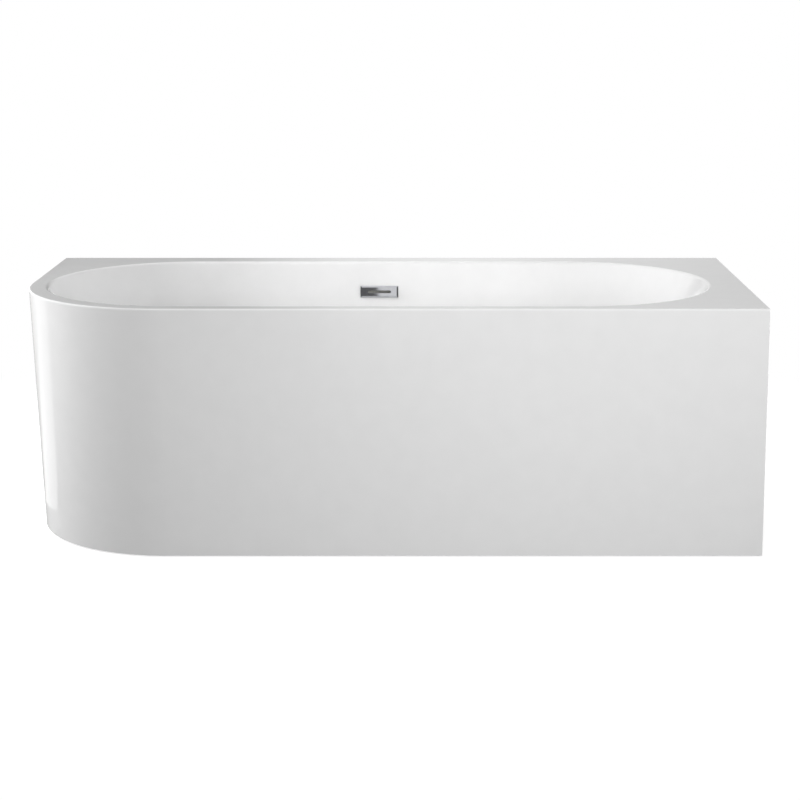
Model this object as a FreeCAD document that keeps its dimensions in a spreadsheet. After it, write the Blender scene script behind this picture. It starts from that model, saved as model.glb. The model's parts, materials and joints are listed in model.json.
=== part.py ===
import FreeCAD, Part
import Sketcher

import math
import os
import types

# Corner bath with one rounded end. An acrylic basin and a separate acrylic apron, both backed with glass
# fibre, stand on a welded steel frame with six screw feet. A waste with a push plug sits in the floor and an
# overflow sits in the back wall, joined by a ribbed hose.
# Frame: +X along the bath to the wall at its square end, +Y to the wall at its back, +Z up, with the origin
# on the floor at the middle of the bath's plan. All sizes are in millimetres.

SIZES = {
    # Overall shape of the bath
    "bath_length": 1700,
    "bath_width": 750,
    "bath_height": 570,
    "rim_corner_radius": 350,
    "foot_corner_radius": 330,
    "end_batter": 26,
    "front_batter": 3,
    "floor_gap": 4,
    # Acrylic sheet, glass fibre backing and the edges formed in them
    "skin": 5,
    "laminate": 3,
    "laminate_inset": 10,
    "rim_round": 8,
    "nosing_round": 4,
    "lip_height": 30,
    "return_width": 28,
    # Basin: deck left on each side, then height and rounding of its floor and lean of its walls
    "deck_front": 40,
    "deck_back": 68,
    "deck_left": 41,
    "deck_right": 82,
    "floor_height": 150,
    "floor_round": 80,
    "side_lean": 75,
    "end_lean": 225,
    # Base board under the basin floor
    "board_thickness": 18,
    "board_inset": 74,
    "board_hole_radius": 60,
    # Steel frame
    "tube_side": 25,
    "tube_wall": 1.5,
    "rail_spacing": 240,
    "rail_overhang": 50,
    "wall_clearance": 17,
    "left_bar_setback": 54,
    "right_bar_setback": 190,
    "cap_plate": 2,
    "cap_depth": 12,
    # Timber batten and brackets that hold the apron to the frame
    "batten_thickness": 20,
    "batten_drop": 14,
    "batten_height": 70,
    "batten_end": 40,
    "bracket_leg": 32,
    "bracket_screw_rise": 19,
    "bracket_sheet": 3,
    # Wood screws
    "screw_radius": 2.5,
    "screw_head_radius": 4.5,
    "screw_head_height": 2.5,
    "screw_bite": 12,
    "board_screw_end": 100,
    "bar_screw_gap": 60,
    # Screw feet
    "stem_radius": 6,
    "stem_spare": 22,
    "stem_seat": 6,
    "collar_radius": 9.8,
    "collar_height": 7,
    "nut_radius": 11,
    "nut_height": 10,
    "pad_radius": 28,
    "pad_edge": 5,
    "pad_hub_radius": 13,
    "pad_shoulder": 14,
    "pad_height": 20,
    "front_foot_setback": 66,
    "rear_foot_setback": 58,
    # Clearances
    "running_gap": 0.3,
    # Waste in the basin floor
    "waste_shift": 7,
    "drain_recess": 3,
    "drain_recess_radius": 46,
    "drain_hole_radius": 25,
    "flange_radius": 36,
    "flange_thickness": 2.5,
    "flange_bevel": 1.5,
    "waste_tube_radius": 23.5,
    "waste_tube_wall": 3.5,
    "waste_tube_length": 47,
    "top_seal_radius": 33,
    "top_seal_thickness": 1.5,
    "bottom_seal_thickness": 3,
    "bottom_seal_radius": 40,
    "lock_nut_radius": 38,
    "lock_nut_height": 10,
    "tee_wall": 3,
    "tee_socket": 18,
    "tee_chamber": 42,
    "tee_inlet_rise": 18,
    "union_nut_radius": 36,
    "union_nut_height": 14,
    "outlet_radius": 20,
    "outlet_length": 34,
    # Push plug
    "plug_travel": 8,
    "plug_radius": 31,
    "plug_edge": 3,
    "plug_crown": 2,
    "plug_bevel": 8,
    "plug_seal_radius": 27,
    "plug_seal_thickness": 3,
    "plug_stem_radius": 5,
    "plug_stem_length": 62,
    "guide_radius": 8.5,
    "guide_length": 26,
    "guide_spoke": 3,
    "spring_wire": 1.2,
    "spring_radius": 7.5,
    # Overflow in the back wall
    "overflow_drop": 76,
    "cover_length": 97,
    "cover_height": 30,
    "cover_thickness": 6,
    "cover_face": 2,
    "cover_bevel": 4,
    "cover_bevel_depth": 2,
    "seal_inset": 1.5,
    "slot_length": 59,
    "slot_height": 7,
    "dish_margin": 4,
    "dish_depth": 1,
    "mouth_length": 60,
    "mouth_height": 20,
    "front_seal_thickness": 1,
    "rear_seal_thickness": 2,
    "post_offset": 38,
    "post_radius": 3,
    "machine_screw_radius": 1.6,
    "machine_screw_head_radius": 3.2,
    "machine_screw_head_height": 2.4,
    "body_flange_margin": 4,
    "body_flange_thickness": 4,
    "body_length": 66,
    "body_depth": 28,
    "body_wall": 2.5,
    # Overflow hose
    "barb_radius": 12.7,
    "barb_wall": 2.2,
    "barb_length": 36,
    "hose_grip": 28,
    "hose_bore_radius": 13,
    "hose_root_radius": 14.6,
    "hose_crest_radius": 16.4,
    "hose_cuff_radius": 15.8,
    "hose_cuff_length": 34,
    "hose_bend_radius": 120,
    "rib_pitch": 5.5,
    "clamp_band": 1.2,
    "clamp_width": 10,
}

V = FreeCAD.Vector
doc = FreeCAD.newDocument("corner_bath")
sheet = doc.addObject("Spreadsheet::Sheet", "sizes")
for row, (alias, number) in enumerate(SIZES.items(), start=1):
    sheet.set(f"A{row}", alias)
    sheet.set(f"B{row}", str(number))
    sheet.setAlias(f"B{row}", alias)
doc.recompute()


class Size:
    """A dimension that carries its spreadsheet expression and its present value."""

    def __init__(self, text, value):
        self.text = text
        self.value = value

    def __add__(self, other):
        return Size(f"({self.text} + {text_of(other)})", self.value + value_of(other))

    def __radd__(self, other):
        return self + other

    def __sub__(self, other):
        return Size(f"({self.text} - {text_of(other)})", self.value - value_of(other))

    def __rsub__(self, other):
        return -self + other

    def __mul__(self, other):
        return Size(f"({self.text} * {text_of(other)})", self.value * value_of(other))

    def __truediv__(self, other):
        return Size(f"({self.text} / {text_of(other)})", self.value / value_of(other))

    def __neg__(self):
        return Size(f"(-1 * {self.text})", -self.value)


def text_of(amount):
    return amount.text if isinstance(amount, Size) else repr(amount)


def value_of(amount):
    return amount.value if isinstance(amount, Size) else amount


def slope_angle(rise, run):
    """The angle, in degrees, whose tangent is rise over run."""
    return Size(f"atan({rise.text} / {run.text})", math.degrees(math.atan2(rise.value, run.value)))


def cosine(angle):
    return Size(f"cos({angle.text})", math.cos(math.radians(angle.value)))


def sine(angle):
    return Size(f"sin({angle.text})", math.sin(math.radians(angle.value)))


d = types.SimpleNamespace(**{alias: Size(f"sizes.{alias}", float(getattr(sheet, alias))) for alias in SIZES})


# Building blocks

def bind(item, **amounts):
    """Ties properties of a document object to sizes."""
    for name, amount in amounts.items():
        item.setExpression(name, text_of(amount))
    return item


def place(item, x, y, z):
    """Ties the base point of an object's placement to sizes."""
    for axis, amount in zip("xyz", (x, y, z)):
        item.setExpression(f"Placement.Base.{axis}", text_of(amount))
    return item


def turn(item, axis, degrees):
    """Turns an object about an axis through its base point."""
    item.Placement = FreeCAD.Placement(V(), FreeCAD.Rotation(axis, value_of(degrees)))
    if isinstance(degrees, Size):
        item.setExpression("Placement.Rotation.Angle", degrees.text)
    return item


def box(name, corner, extent):
    """A block from its low corner and its extent along X, Y and Z."""
    block = doc.addObject("Part::Box", name)
    bind(block, Length=extent[0], Width=extent[1], Height=extent[2])
    return place(block, *corner)


def rod(name, start, radius, length, axis="z"):
    """A cylinder from the centre of its first end along a positive axis."""
    bar = doc.addObject("Part::Cylinder", name)
    bind(bar, Radius=radius, Height=length)
    if axis == "y":
        turn(bar, V(1, 0, 0), -90)
    return place(bar, *start)


def hexagon(name, base, radius, height):
    """An upright hexagonal bar, sized across its corners."""
    prism = doc.addObject("Part::Prism", name)
    prism.Polygon = 6
    bind(prism, Circumradius=radius, Height=height)
    return place(prism, *base)


def fuse(name, *pieces):
    whole = doc.addObject("Part::MultiFuse", name)
    whole.Shapes = list(pieces)
    return whole


def cut(name, base, *tools):
    """The base piece with every tool taken out of it."""
    rest = doc.addObject("Part::Cut", name)
    rest.Base = base
    rest.Tool = tools[0] if len(tools) == 1 else fuse(f"{name}_tools", *tools)
    return rest


def common(name, one, other):
    shared = doc.addObject("Part::Common", name)
    shared.Base = one
    shared.Tool = other
    return shared


def gather(name, pieces):
    """Separate solids that share one node."""
    compound = doc.addObject("Part::Compound", name)
    compound.Links = list(pieces)
    return compound


def extrude(name, outline, height):
    """An outline raised straight up by height."""
    solid = doc.addObject("Part::Extrusion", name)
    solid.Base = outline
    solid.DirMode = "Normal"
    solid.Solid = True
    return bind(solid, LengthFwd=height)


def loft(name, lower, upper):
    """Straight walls between two outlines that have matching edges."""
    solid = doc.addObject("Part::Loft", name)
    solid.Sections = [lower, upper]
    solid.Solid = True
    solid.Ruled = True
    solid.Linearize = True
    return solid


def rounded(name, base, radius, chosen):
    """A piece with the edges that chosen() picks rounded off."""
    doc.recompute()
    edges = enumerate(base.Shape.Edges, start=1)
    fillet = doc.addObject("Part::Fillet", name)
    fillet.Base = base
    fillet.Edges = [(index, radius.value, radius.value) for index, edge in edges if chosen(edge)]
    return fillet


def tie(outline, kind, geometry, point, amount):
    """A sketch dimension tied to a size. point is None for a radius."""
    where = (geometry,) if point is None else (geometry, point)
    index = outline.addConstraint(Sketcher.Constraint(kind, *where, value_of(amount)))
    outline.setExpression(f"Constraints[{index}]", text_of(amount))


def stadium(name, height, radius, left_x, right_x, y):
    """A level sketch of two straight sides joined by half circles."""
    outline = doc.addObject("Sketcher::SketchObject", name)
    place(outline, 0, 0, height)
    r, x0, x1, y0 = radius.value, left_x.value, right_x.value, y.value
    quarter = math.pi / 2
    outline.addGeometry(Part.LineSegment(V(x0, y0 - r), V(x1, y0 - r)))
    outline.addGeometry(Part.ArcOfCircle(Part.Circle(V(x1, y0), V(0, 0, 1), r), -quarter, quarter))
    outline.addGeometry(Part.LineSegment(V(x1, y0 + r), V(x0, y0 + r)))
    outline.addGeometry(Part.ArcOfCircle(Part.Circle(V(x0, y0), V(0, 0, 1), r), quarter, 3 * quarter))
    for side in range(4):
        outline.addConstraint(Sketcher.Constraint("Tangent", side, 2, (side + 1) % 4, 1))
    outline.addConstraint(Sketcher.Constraint("Equal", 1, 3))
    tie(outline, "Radius", 1, None, radius)
    for arc, x in ((1, right_x), (3, left_x)):
        tie(outline, "DistanceX", arc, 3, x)
        tie(outline, "DistanceY", arc, 3, y)
    return outline


def corner_plan(name, height, left_x, front_y, right_x, back_y, radius):
    """A level sketch of the bath's plan: a rectangle with its left front corner rounded."""
    outline = doc.addObject("Sketcher::SketchObject", name)
    place(outline, 0, 0, height)
    x0, x1 = left_x.value, right_x.value
    y0, y1, r = front_y.value, back_y.value, radius.value
    corners = [V(x0, y0 + r), V(x0, y1), V(x1, y1), V(x1, y0), V(x0 + r, y0)]
    for start, end in zip(corners, corners[1:]):
        outline.addGeometry(Part.LineSegment(start, end))
    arc = Part.Circle(V(x0 + r, y0 + r), V(0, 0, 1), r)
    outline.addGeometry(Part.ArcOfCircle(arc, math.pi, 1.5 * math.pi))
    for side in range(3):
        outline.addConstraint(Sketcher.Constraint("Coincident", side, 2, side + 1, 1))
        outline.addConstraint(Sketcher.Constraint("Vertical" if side % 2 == 0 else "Horizontal", side))
    outline.addConstraint(Sketcher.Constraint("Horizontal", 3))
    outline.addConstraint(Sketcher.Constraint("Tangent", 3, 2, 4, 2))
    outline.addConstraint(Sketcher.Constraint("Tangent", 4, 1, 0, 1))
    tie(outline, "Radius", 4, None, radius)
    tie(outline, "DistanceX", 0, 2, left_x)
    tie(outline, "DistanceY", 0, 2, back_y)
    tie(outline, "DistanceX", 2, 2, right_x)
    tie(outline, "DistanceY", 2, 2, front_y)
    return outline


def polygon(outline, corners):
    """Straight sides through corners, each corner tied to its two sizes."""
    points = [V(value_of(a), value_of(b)) for a, b in corners]
    count = len(points)
    for index in range(count):
        outline.addGeometry(Part.LineSegment(points[index], points[(index + 1) % count]))
    for index in range(count):
        outline.addConstraint(Sketcher.Constraint("Coincident", index, 2, (index + 1) % count, 1))
    for index, (a, b) in enumerate(corners):
        tie(outline, "DistanceX", index, 1, a)
        tie(outline, "DistanceY", index, 1, b)


def origin_sketch(body, name, role):
    """A sketch on one of a body's own origin planes."""
    outline = body.newObject("Sketcher::SketchObject", name)
    plane = next(feature for feature in body.Origin.OriginFeatures if feature.Role == role)
    outline.AttachmentSupport = [(plane, "")]
    outline.MapMode = "FlatFace"
    return outline


def turned(name, profile, x, y, z):
    """A piece turned about an upright axis through x, y, from corners of radius and height above z."""
    body = doc.addObject("PartDesign::Body", name)
    outline = origin_sketch(body, f"{name}_profile", "XZ_Plane")
    polygon(outline, profile)
    revolution = body.newObject("PartDesign::Revolution", f"{name}_turn")
    revolution.Profile = outline
    revolution.ReferenceAxis = (outline, ["V_Axis"])
    revolution.Angle = 360
    return place(body, x, y, z)


def ring(name, inner, outer, height, x, y, z):
    """A flat washer whose lower face is at z."""
    return turned(name, [(inner, 0), (outer, 0), (outer, height), (inner, height)], x, y, z)


EDGE_TOLERANCE = 0.001
nodes = {}


def node(item, name):
    """Marks a finished object as a sub-part of the bath, under its own name."""
    item.Label = name
    nodes[name] = item
    return item


# Shared levels and lines of the bath

left, right = -d.bath_length / 2, d.bath_length / 2
front, back = -d.bath_width / 2, d.bath_width / 2
deck_under = d.bath_height - d.skin
backing = d.skin + d.laminate
# A length of nothing, which can be added to other lengths
nothing = d.skin * 0
floor_top = d.floor_height
basin_depth = d.bath_height - floor_top
board_top = floor_top - backing
rail_top = board_top - d.board_thickness
bar_top = rail_top - d.tube_side
bar_under = bar_top - d.tube_side

opening_radius = (d.bath_width - d.deck_front - d.deck_back) / 2
waste_x = (d.deck_left - d.deck_right) / 2 - d.waste_shift
basin_y = (d.deck_front - d.deck_back) / 2
wall_lean = slope_angle(d.side_lean, basin_depth)

drain_floor = floor_top - d.drain_recess
overflow_z = d.bath_height - d.overflow_drop
overflow_y = back - d.deck_back - d.side_lean * d.overflow_drop / basin_depth
wall_back = backing * cosine(wall_lean)

batten_start = left + d.end_batter + d.foot_corner_radius
left_bar_x = batten_start + d.left_bar_setback
right_bar_x = right - d.right_bar_setback
bar_xs = {"left": left_bar_x, "middle": (left_bar_x + right_bar_x) / 2, "right": right_bar_x}


def front_at(z):
    """Where the apron's outer face stands at a height: it leans back towards the floor."""
    rise = (z - d.floor_gap) / (deck_under - d.floor_gap)
    return front + d.front_batter - d.front_batter * rise


# Basin: a deck with a lip for the walls and a bowl with leaning sides

def basin_form(name, grown):
    """The bowl as a solid, grown outwards from its wet face, with its floor edge rounded."""
    depth = basin_depth + grown
    side = d.side_lean * depth / basin_depth
    end = d.end_lean * depth / basin_depth
    levels = ((d.bath_height - depth, side, end, "floor"), (d.bath_height, nothing, nothing, "mouth"))
    outlines = []
    for height, side_inset, end_inset, word in levels:
        radius = opening_radius + grown - side_inset
        left_x = left + d.deck_left - grown + end_inset + radius
        right_x = right - d.deck_right + grown - end_inset - radius
        outlines.append(stadium(f"{name}_{word}", height, radius, left_x, right_x, basin_y))
    floor_level = levels[0][0].value + EDGE_TOLERANCE
    walls = loft(f"{name}_walls", *outlines)
    return rounded(name, walls, d.floor_round + grown, lambda edge: edge.BoundBox.ZMax < floor_level)


def drain_boss(name, grown):
    """The round recess for the waste, grown outwards from its wet face."""
    start = (waste_x, basin_y, drain_floor - grown)
    return rod(name, start, d.drain_recess_radius + grown, d.drain_recess + d.skin)


def on_back_wall(item):
    """Sets a piece made about the overflow's centre onto the leaning back wall of the basin."""
    turn(item, V(1, 0, 0), -wall_lean)
    return place(item, waste_x, overflow_y, overflow_z)


def slot(name, length, height, start, depth):
    """A round-ended slot through local Y, from start over depth."""
    half = (length - height) / 2
    middle = box(f"{name}_middle", (-half, start, -height / 2), (half * 2, depth, height))
    low_end = rod(f"{name}_low_end", (-half, start, 0), height / 2, depth, "y")
    high_end = rod(f"{name}_high_end", (half, start, 0), height / 2, depth, "y")
    return fuse(name, middle, low_end, high_end)


def wall_slot(name):
    """The slot through the back wall that takes the overflow's water and the cover's two posts."""
    length = (d.post_offset + d.post_radius + d.running_gap) * 2
    return on_back_wall(slot(name, length, d.mouth_height, -d.skin, backing * 3))


wet_form = basin_form("wet_form", nothing)
skin_form = basin_form("skin_form", d.skin)
backing_form = basin_form("backing_form", backing)
deck_plan = corner_plan("deck_plan", deck_under, left, front, right, back, d.rim_corner_radius)
deck_plate = extrude("deck_plate", deck_plan, d.skin)
overflow_slot = wall_slot("overflow_slot")
drain_hole = rod("drain_hole", (waste_x, basin_y, rail_top), d.drain_hole_radius, floor_top - rail_top)

lip_start_x = left + d.end_batter + d.return_width
lip_start_y = front + d.front_batter + d.return_width
lip_under = d.bath_height - d.lip_height
lip_drop = d.lip_height - d.skin
back_lip = box("back_lip", (lip_start_x, back - d.skin, lip_under), (right - lip_start_x, d.skin, lip_drop))
right_lip = box("right_lip", (right - d.skin, lip_start_y, lip_under), (d.skin, back - lip_start_y, lip_drop))

shell_block = fuse("shell_block", deck_plate, back_lip, right_lip, skin_form, drain_boss("skin_boss", d.skin))
shell_open = cut("shell_open", shell_block, wet_form, drain_boss("wet_recess", nothing))


def on_top(edge):
    return edge.BoundBox.ZMin > d.bath_height.value - EDGE_TOLERANCE


def at_mouth(edge):
    """Edges of the bowl's mouth, which lie inside the deck."""
    reach = edge.BoundBox
    margin = d.skin.value
    inside_x = reach.XMin > left.value + margin and reach.XMax < right.value - margin
    inside_y = reach.YMin > front.value + margin and reach.YMax < back.value - margin
    return on_top(edge) and inside_x and inside_y


def at_nosing(edge):
    """Edges of the deck that face the room: the front, the round corner and the left end."""
    reach = edge.BoundBox
    at_back = reach.YMin > back.value - EDGE_TOLERANCE
    at_right = reach.XMin > right.value - EDGE_TOLERANCE
    return on_top(edge) and not at_mouth(edge) and not at_back and not at_right


shell_rim = rounded("shell_rim", shell_open, d.rim_round, at_mouth)
shell_nosing = rounded("shell_nosing", shell_rim, d.nosing_round, at_nosing)
node(cut("basin", shell_nosing, drain_hole, overflow_slot), "basin_shell")

layer_plan = corner_plan(
    "layer_plan", deck_under - d.laminate, left + d.laminate_inset, front + d.laminate_inset,
    right - d.laminate_inset, back - d.laminate_inset, d.rim_corner_radius - d.laminate_inset)
layer = extrude("layer", layer_plan, d.laminate)
backing_block = fuse("backing_block", layer, backing_form, drain_boss("backing_boss", backing))
node(cut("backing_layer", backing_block, deck_plate, skin_form, drain_boss("skin_boss_tool", d.skin),
         drain_hole, overflow_slot), "basin_backing")


# Apron: front and round end in one sheet, with returns at the floor and at both walls

def apron_form(name, inset):
    """The space inside the apron's outline, drawn in by inset, from the apron's foot up to the deck."""
    foot = corner_plan(
        f"{name}_foot", d.floor_gap, left + d.end_batter + inset, front + d.front_batter + inset,
        right - inset, back - inset, d.foot_corner_radius - inset)
    head = corner_plan(
        f"{name}_head", deck_under, left + inset, front + inset, right - inset, back - inset,
        d.rim_corner_radius - inset)
    return loft(name, foot, head)


outer_form = apron_form("outer_form", nothing)
inner_form = apron_form("inner_form", d.skin)
lining_form = apron_form("lining_form", backing)
foot_plan = corner_plan(
    "foot_plan", d.floor_gap, left + d.end_batter, front + d.front_batter, right, back, d.foot_corner_radius)
foot_slab = extrude("foot_slab", foot_plan, d.skin)
foot_hole_plan = corner_plan(
    "foot_hole_plan", d.floor_gap - d.skin, left + d.end_batter + d.return_width,
    front + d.front_batter + d.return_width, right + d.skin, back + d.skin,
    d.foot_corner_radius - d.return_width)
foot_hole = extrude("foot_hole", foot_hole_plan, d.skin * 3)
foot_return = cut("foot_return", foot_slab, foot_hole)
back_window = box(
    "back_window", (lip_start_x, back - d.skin * 2, -d.skin),
    (d.bath_length, d.skin * 3, d.bath_height))
right_window = box(
    "right_window", (right - d.skin * 2, lip_start_y, -d.skin),
    (d.skin * 3, d.bath_width, d.bath_height))
apron_walls = fuse("apron_walls", cut("apron_sheet", outer_form, inner_form), foot_return)
node(cut("apron", apron_walls, back_window, right_window), "apron_shell")

lining_back = box(
    "lining_back", (left - d.skin, back - backing - d.skin, -d.skin),
    (d.bath_length + d.skin * 2, backing * 2, d.bath_height))
lining_right = box(
    "lining_right", (right - backing - d.skin, front - d.skin, -d.skin),
    (backing * 2, d.bath_width + d.skin * 2, d.bath_height))
lining_sheet = cut("lining_sheet", inner_form, lining_form)
node(cut("lining", lining_sheet, foot_slab, lining_back, lining_right), "apron_lining")

# Base board under the basin floor, and the screws that hold it to the two long rails

floor_inset = d.side_lean + d.board_inset
board_radius = opening_radius - floor_inset
board_left = left + d.deck_left + d.end_lean + d.board_inset + board_radius
board_right = right - d.deck_right - d.end_lean - d.board_inset - board_radius
rail_ys = {"front": basin_y - d.rail_spacing / 2, "rear": basin_y + d.rail_spacing / 2}
screw_xs = [
    left_bar_x + d.bar_screw_gap,
    (left_bar_x + bar_xs["middle"]) / 2,
    bar_xs["middle"] - d.bar_screw_gap,
    bar_xs["middle"] + d.bar_screw_gap,
    board_right + board_radius - d.board_screw_end,
]


def wood_screw(name, x, y, head_z, length):
    """An upright screw with its pan head below head_z."""
    head = rod(f"{name}_head", (x, y, head_z - d.screw_head_height), d.screw_head_radius, d.screw_head_height)
    shank = rod(f"{name}_shank", (x, y, head_z), d.screw_radius, length)
    return fuse(name, head, shank)


board_screws = []
rail_holes = {word: [] for word in rail_ys}
board_holes = []
for word, rail_y in rail_ys.items():
    for index, screw_x in enumerate(screw_xs):
        screw_name = f"board_screw_{word}_{index}"
        length = d.tube_side + d.screw_bite
        board_screws.append(wood_screw(screw_name, screw_x, rail_y, bar_top, length))
        clearance = d.screw_radius + d.running_gap
        rail_hole = rod(f"{screw_name}_rail", (screw_x, rail_y, bar_top), clearance, d.tube_side)
        rail_holes[word].append(rail_hole)
        board_hole = rod(f"{screw_name}_board", (screw_x, rail_y, rail_top), d.screw_radius, d.screw_bite)
        board_holes.append(board_hole)
node(gather("board_screw_set", board_screws), "board_screws")

board_plan = stadium("board_plan", rail_top, board_radius, board_left, board_right, basin_y)
board_blank = extrude("board_blank", board_plan, d.board_thickness)
board_well = rod("board_well", (waste_x, basin_y, rail_top), d.board_hole_radius, d.board_thickness)
node(cut("board", board_blank, board_well, *board_holes), "base_board")

# Frame of square tube: cross bars on the feet, long rails under the board, posts and top rails under the deck


def tube(name, axis, corner, length):
    """Square tube along an axis from its low corner."""
    outer_extent = [d.tube_side] * 3
    inner_extent = [d.tube_side - d.tube_wall * 2] * 3
    inner_corner = [amount + d.tube_wall for amount in corner]
    along = "xyz".index(axis)
    outer_extent[along] = inner_extent[along] = length
    inner_corner[along] = corner[along]
    outer = box(f"{name}_outer", corner, outer_extent)
    inner = box(f"{name}_bore", inner_corner, inner_extent)
    return cut(name, outer, inner)


def tube_cap(name, axis, corner, outward):
    """A plug for the open end of a tube: a plate outside it and a spigot inside it."""
    along = "xyz".index(axis)
    wall = d.tube_wall
    plate_corner, plate_extent = list(corner), [d.tube_side] * 3
    spigot_corner = [amount + wall for amount in corner]
    spigot_extent = [d.tube_side - wall * 2] * 3
    plate_extent[along] = d.cap_plate
    spigot_extent[along] = d.cap_depth
    plate_corner[along] = corner[along] if outward > 0 else corner[along] - d.cap_plate
    spigot_corner[along] = corner[along] - d.cap_depth if outward > 0 else corner[along]
    plate = box(f"{name}_plate", plate_corner, plate_extent)
    spigot = box(f"{name}_spigot", spigot_corner, spigot_extent)
    return fuse(name, plate, spigot)


half_tube = d.tube_side / 2
post_y = back - d.wall_clearance - d.tube_side
right_x = right - d.wall_clearance - d.tube_side
rail_start = board_left - board_radius - d.rail_overhang
rail_length = right_x + d.tube_side - rail_start
top_rail_z = deck_under - d.laminate - d.tube_side
post_height = top_rail_z - bar_top

batten_under = bar_under - d.batten_drop
batten_back = front_at(batten_under) + backing + d.batten_thickness
bar_length = post_y + d.tube_side - batten_back
foot_ys = {"front": batten_back + d.front_foot_setback, "rear": back - d.wall_clearance - d.rear_foot_setback}
stem_clearance = d.stem_radius + d.running_gap
stem_length = bar_top + d.nut_height + d.stem_spare - d.stem_seat

caps = []
for word, rail_y in rail_ys.items():
    corner = (rail_start, rail_y - half_tube, bar_top)
    rail = tube(f"{word}_rail_tube", "x", corner, rail_length)
    node(cut(f"{word}_rail", rail, *rail_holes[word]), f"long_rail_{word}")
    caps.append(tube_cap(f"{word}_rail_cap_left", "x", corner, -1))
    caps.append(tube_cap(f"{word}_rail_cap_right", "x", (rail_start + rail_length, *corner[1:]), 1))
    post_corner = (right_x, rail_y - half_tube, rail_top)
    node(tube(f"right_post_{word}_tube", "z", post_corner, top_rail_z - rail_top), f"right_post_{word}")

for word, bar_x in bar_xs.items():
    corner = (bar_x - half_tube, batten_back, bar_under)
    bar = tube(f"{word}_bar_tube", "y", corner, bar_length)
    holes = [rod(f"{word}_bar_hole_{end}", (bar_x, foot_y, bar_under), stem_clearance, d.tube_side)
             for end, foot_y in foot_ys.items()]
    node(cut(f"{word}_bar", bar, *holes), f"cross_bar_{word}")
    bar_end = (bar_x - half_tube, batten_back + bar_length, bar_under)
    caps.append(tube_cap(f"{word}_bar_cap", "y", bar_end, 1))
    post_corner = (bar_x - half_tube, post_y, bar_top)
    node(tube(f"rear_post_{word}_tube", "z", post_corner, post_height), f"rear_post_{word}")

top_rail_start = lip_start_x + d.tube_side
top_rail_corner = (top_rail_start, post_y, top_rail_z)
top_rail_length = right_x + d.tube_side - top_rail_start
node(tube("rear_top_tube", "x", top_rail_corner, top_rail_length), "top_rail_rear")
caps.append(tube_cap("rear_top_cap_left", "x", top_rail_corner, -1))
caps.append(tube_cap("rear_top_cap_right", "x", (top_rail_start + top_rail_length, post_y, top_rail_z), 1))
right_rail_start = front + backing + d.tube_side
right_rail_corner = (right_x, right_rail_start, top_rail_z)
node(tube("right_top_tube", "y", right_rail_corner, post_y - right_rail_start), "top_rail_right")
caps.append(tube_cap("right_top_cap", "y", right_rail_corner, -1))
node(gather("cap_set", caps), "tube_caps")

# Timber batten glued inside the apron, and the angle brackets that tie it to the cross bars

batten_top = batten_under + d.batten_height
batten_body = doc.addObject("PartDesign::Body", "batten_body")
batten_plan = origin_sketch(batten_body, "batten_plan", "YZ_Plane")
polygon(batten_plan, [
    (front_at(batten_under) + backing, batten_under),
    (batten_back, batten_under),
    (batten_back, batten_top),
    (front_at(batten_top) + backing, batten_top),
])
batten_pad = batten_body.newObject("PartDesign::Pad", "batten_pad")
batten_pad.Profile = batten_plan
bind(batten_pad, Length=right - d.batten_end - batten_start)
place(batten_body, batten_start, 0, 0)

bracket_screws = []
batten_holes = []
for word, bar_x in bar_xs.items():
    corner = (bar_x - half_tube, batten_back, bar_top)
    lying = box(f"{word}_bracket_lying", corner, (d.tube_side, d.bracket_leg, d.bracket_sheet))
    standing = box(f"{word}_bracket_standing", corner, (d.tube_side, d.bracket_sheet, d.bracket_leg))
    screw_z = bar_top + d.bracket_screw_rise
    seat_y = batten_back + d.bracket_sheet
    bite = d.bracket_sheet + d.screw_bite
    hole_start = (bar_x, batten_back, screw_z)
    hole = rod(f"{word}_bracket_hole", hole_start, d.screw_radius, d.bracket_sheet, "y")
    angle = fuse(f"{word}_bracket_angle", lying, standing)
    node(cut(f"{word}_bracket", angle, hole), f"apron_bracket_{word}")
    head_start = (bar_x, seat_y, screw_z)
    head = rod(f"{word}_bracket_head", head_start, d.screw_head_radius, d.screw_head_height, "y")
    shank_start = (bar_x, seat_y - bite, screw_z)
    shank = rod(f"{word}_bracket_shank", shank_start, d.screw_radius, bite, "y")
    bracket_screws.append(fuse(f"{word}_bracket_screw", head, shank))
    batten_holes.append(rod(f"{word}_batten_hole", shank_start, d.screw_radius, d.screw_bite, "y"))
node(cut("batten", batten_body, *batten_holes), "apron_batten")
node(gather("bracket_screw_set", bracket_screws), "bracket_screws")

# Screw feet: a nut welded on each cross bar, a lock nut below it, a threaded stem and a floor pad

weld_nuts = []
lock_nuts = []
for bar_word, bar_x in bar_xs.items():
    for end_word, foot_y in foot_ys.items():
        word = f"{bar_word}_{end_word}"
        lock_nut_z = bar_under - d.nut_height
        for nuts, kind, nut_z in ((weld_nuts, "weld", bar_top), (lock_nuts, "lock", lock_nut_z)):
            blank = hexagon(f"{kind}_nut_{word}_blank", (bar_x, foot_y, nut_z), d.nut_radius, d.nut_height)
            bore = rod(f"{kind}_nut_{word}_bore", (bar_x, foot_y, nut_z), stem_clearance, d.nut_height)
            nuts.append(cut(f"{kind}_nut_{word}", blank, bore))
        stem = rod(f"stem_{word}_rod", (bar_x, foot_y, d.stem_seat), d.stem_radius, stem_length)
        collar_z = d.pad_height + d.running_gap
        collar = hexagon(f"stem_{word}_collar", (bar_x, foot_y, collar_z), d.collar_radius, d.collar_height)
        node(fuse(f"stem_{word}", stem, collar), f"foot_stem_{word}")
        socket_floor = d.stem_seat - d.running_gap
        node(turned(f"pad_{word}", [
            (0, 0),
            (d.pad_radius, 0),
            (d.pad_radius, d.pad_edge),
            (d.pad_hub_radius, d.pad_shoulder),
            (d.pad_hub_radius, d.pad_height),
            (stem_clearance, d.pad_height),
            (stem_clearance, socket_floor),
            (0, socket_floor),
        ], bar_x, foot_y, 0), f"foot_pad_{word}")
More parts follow.
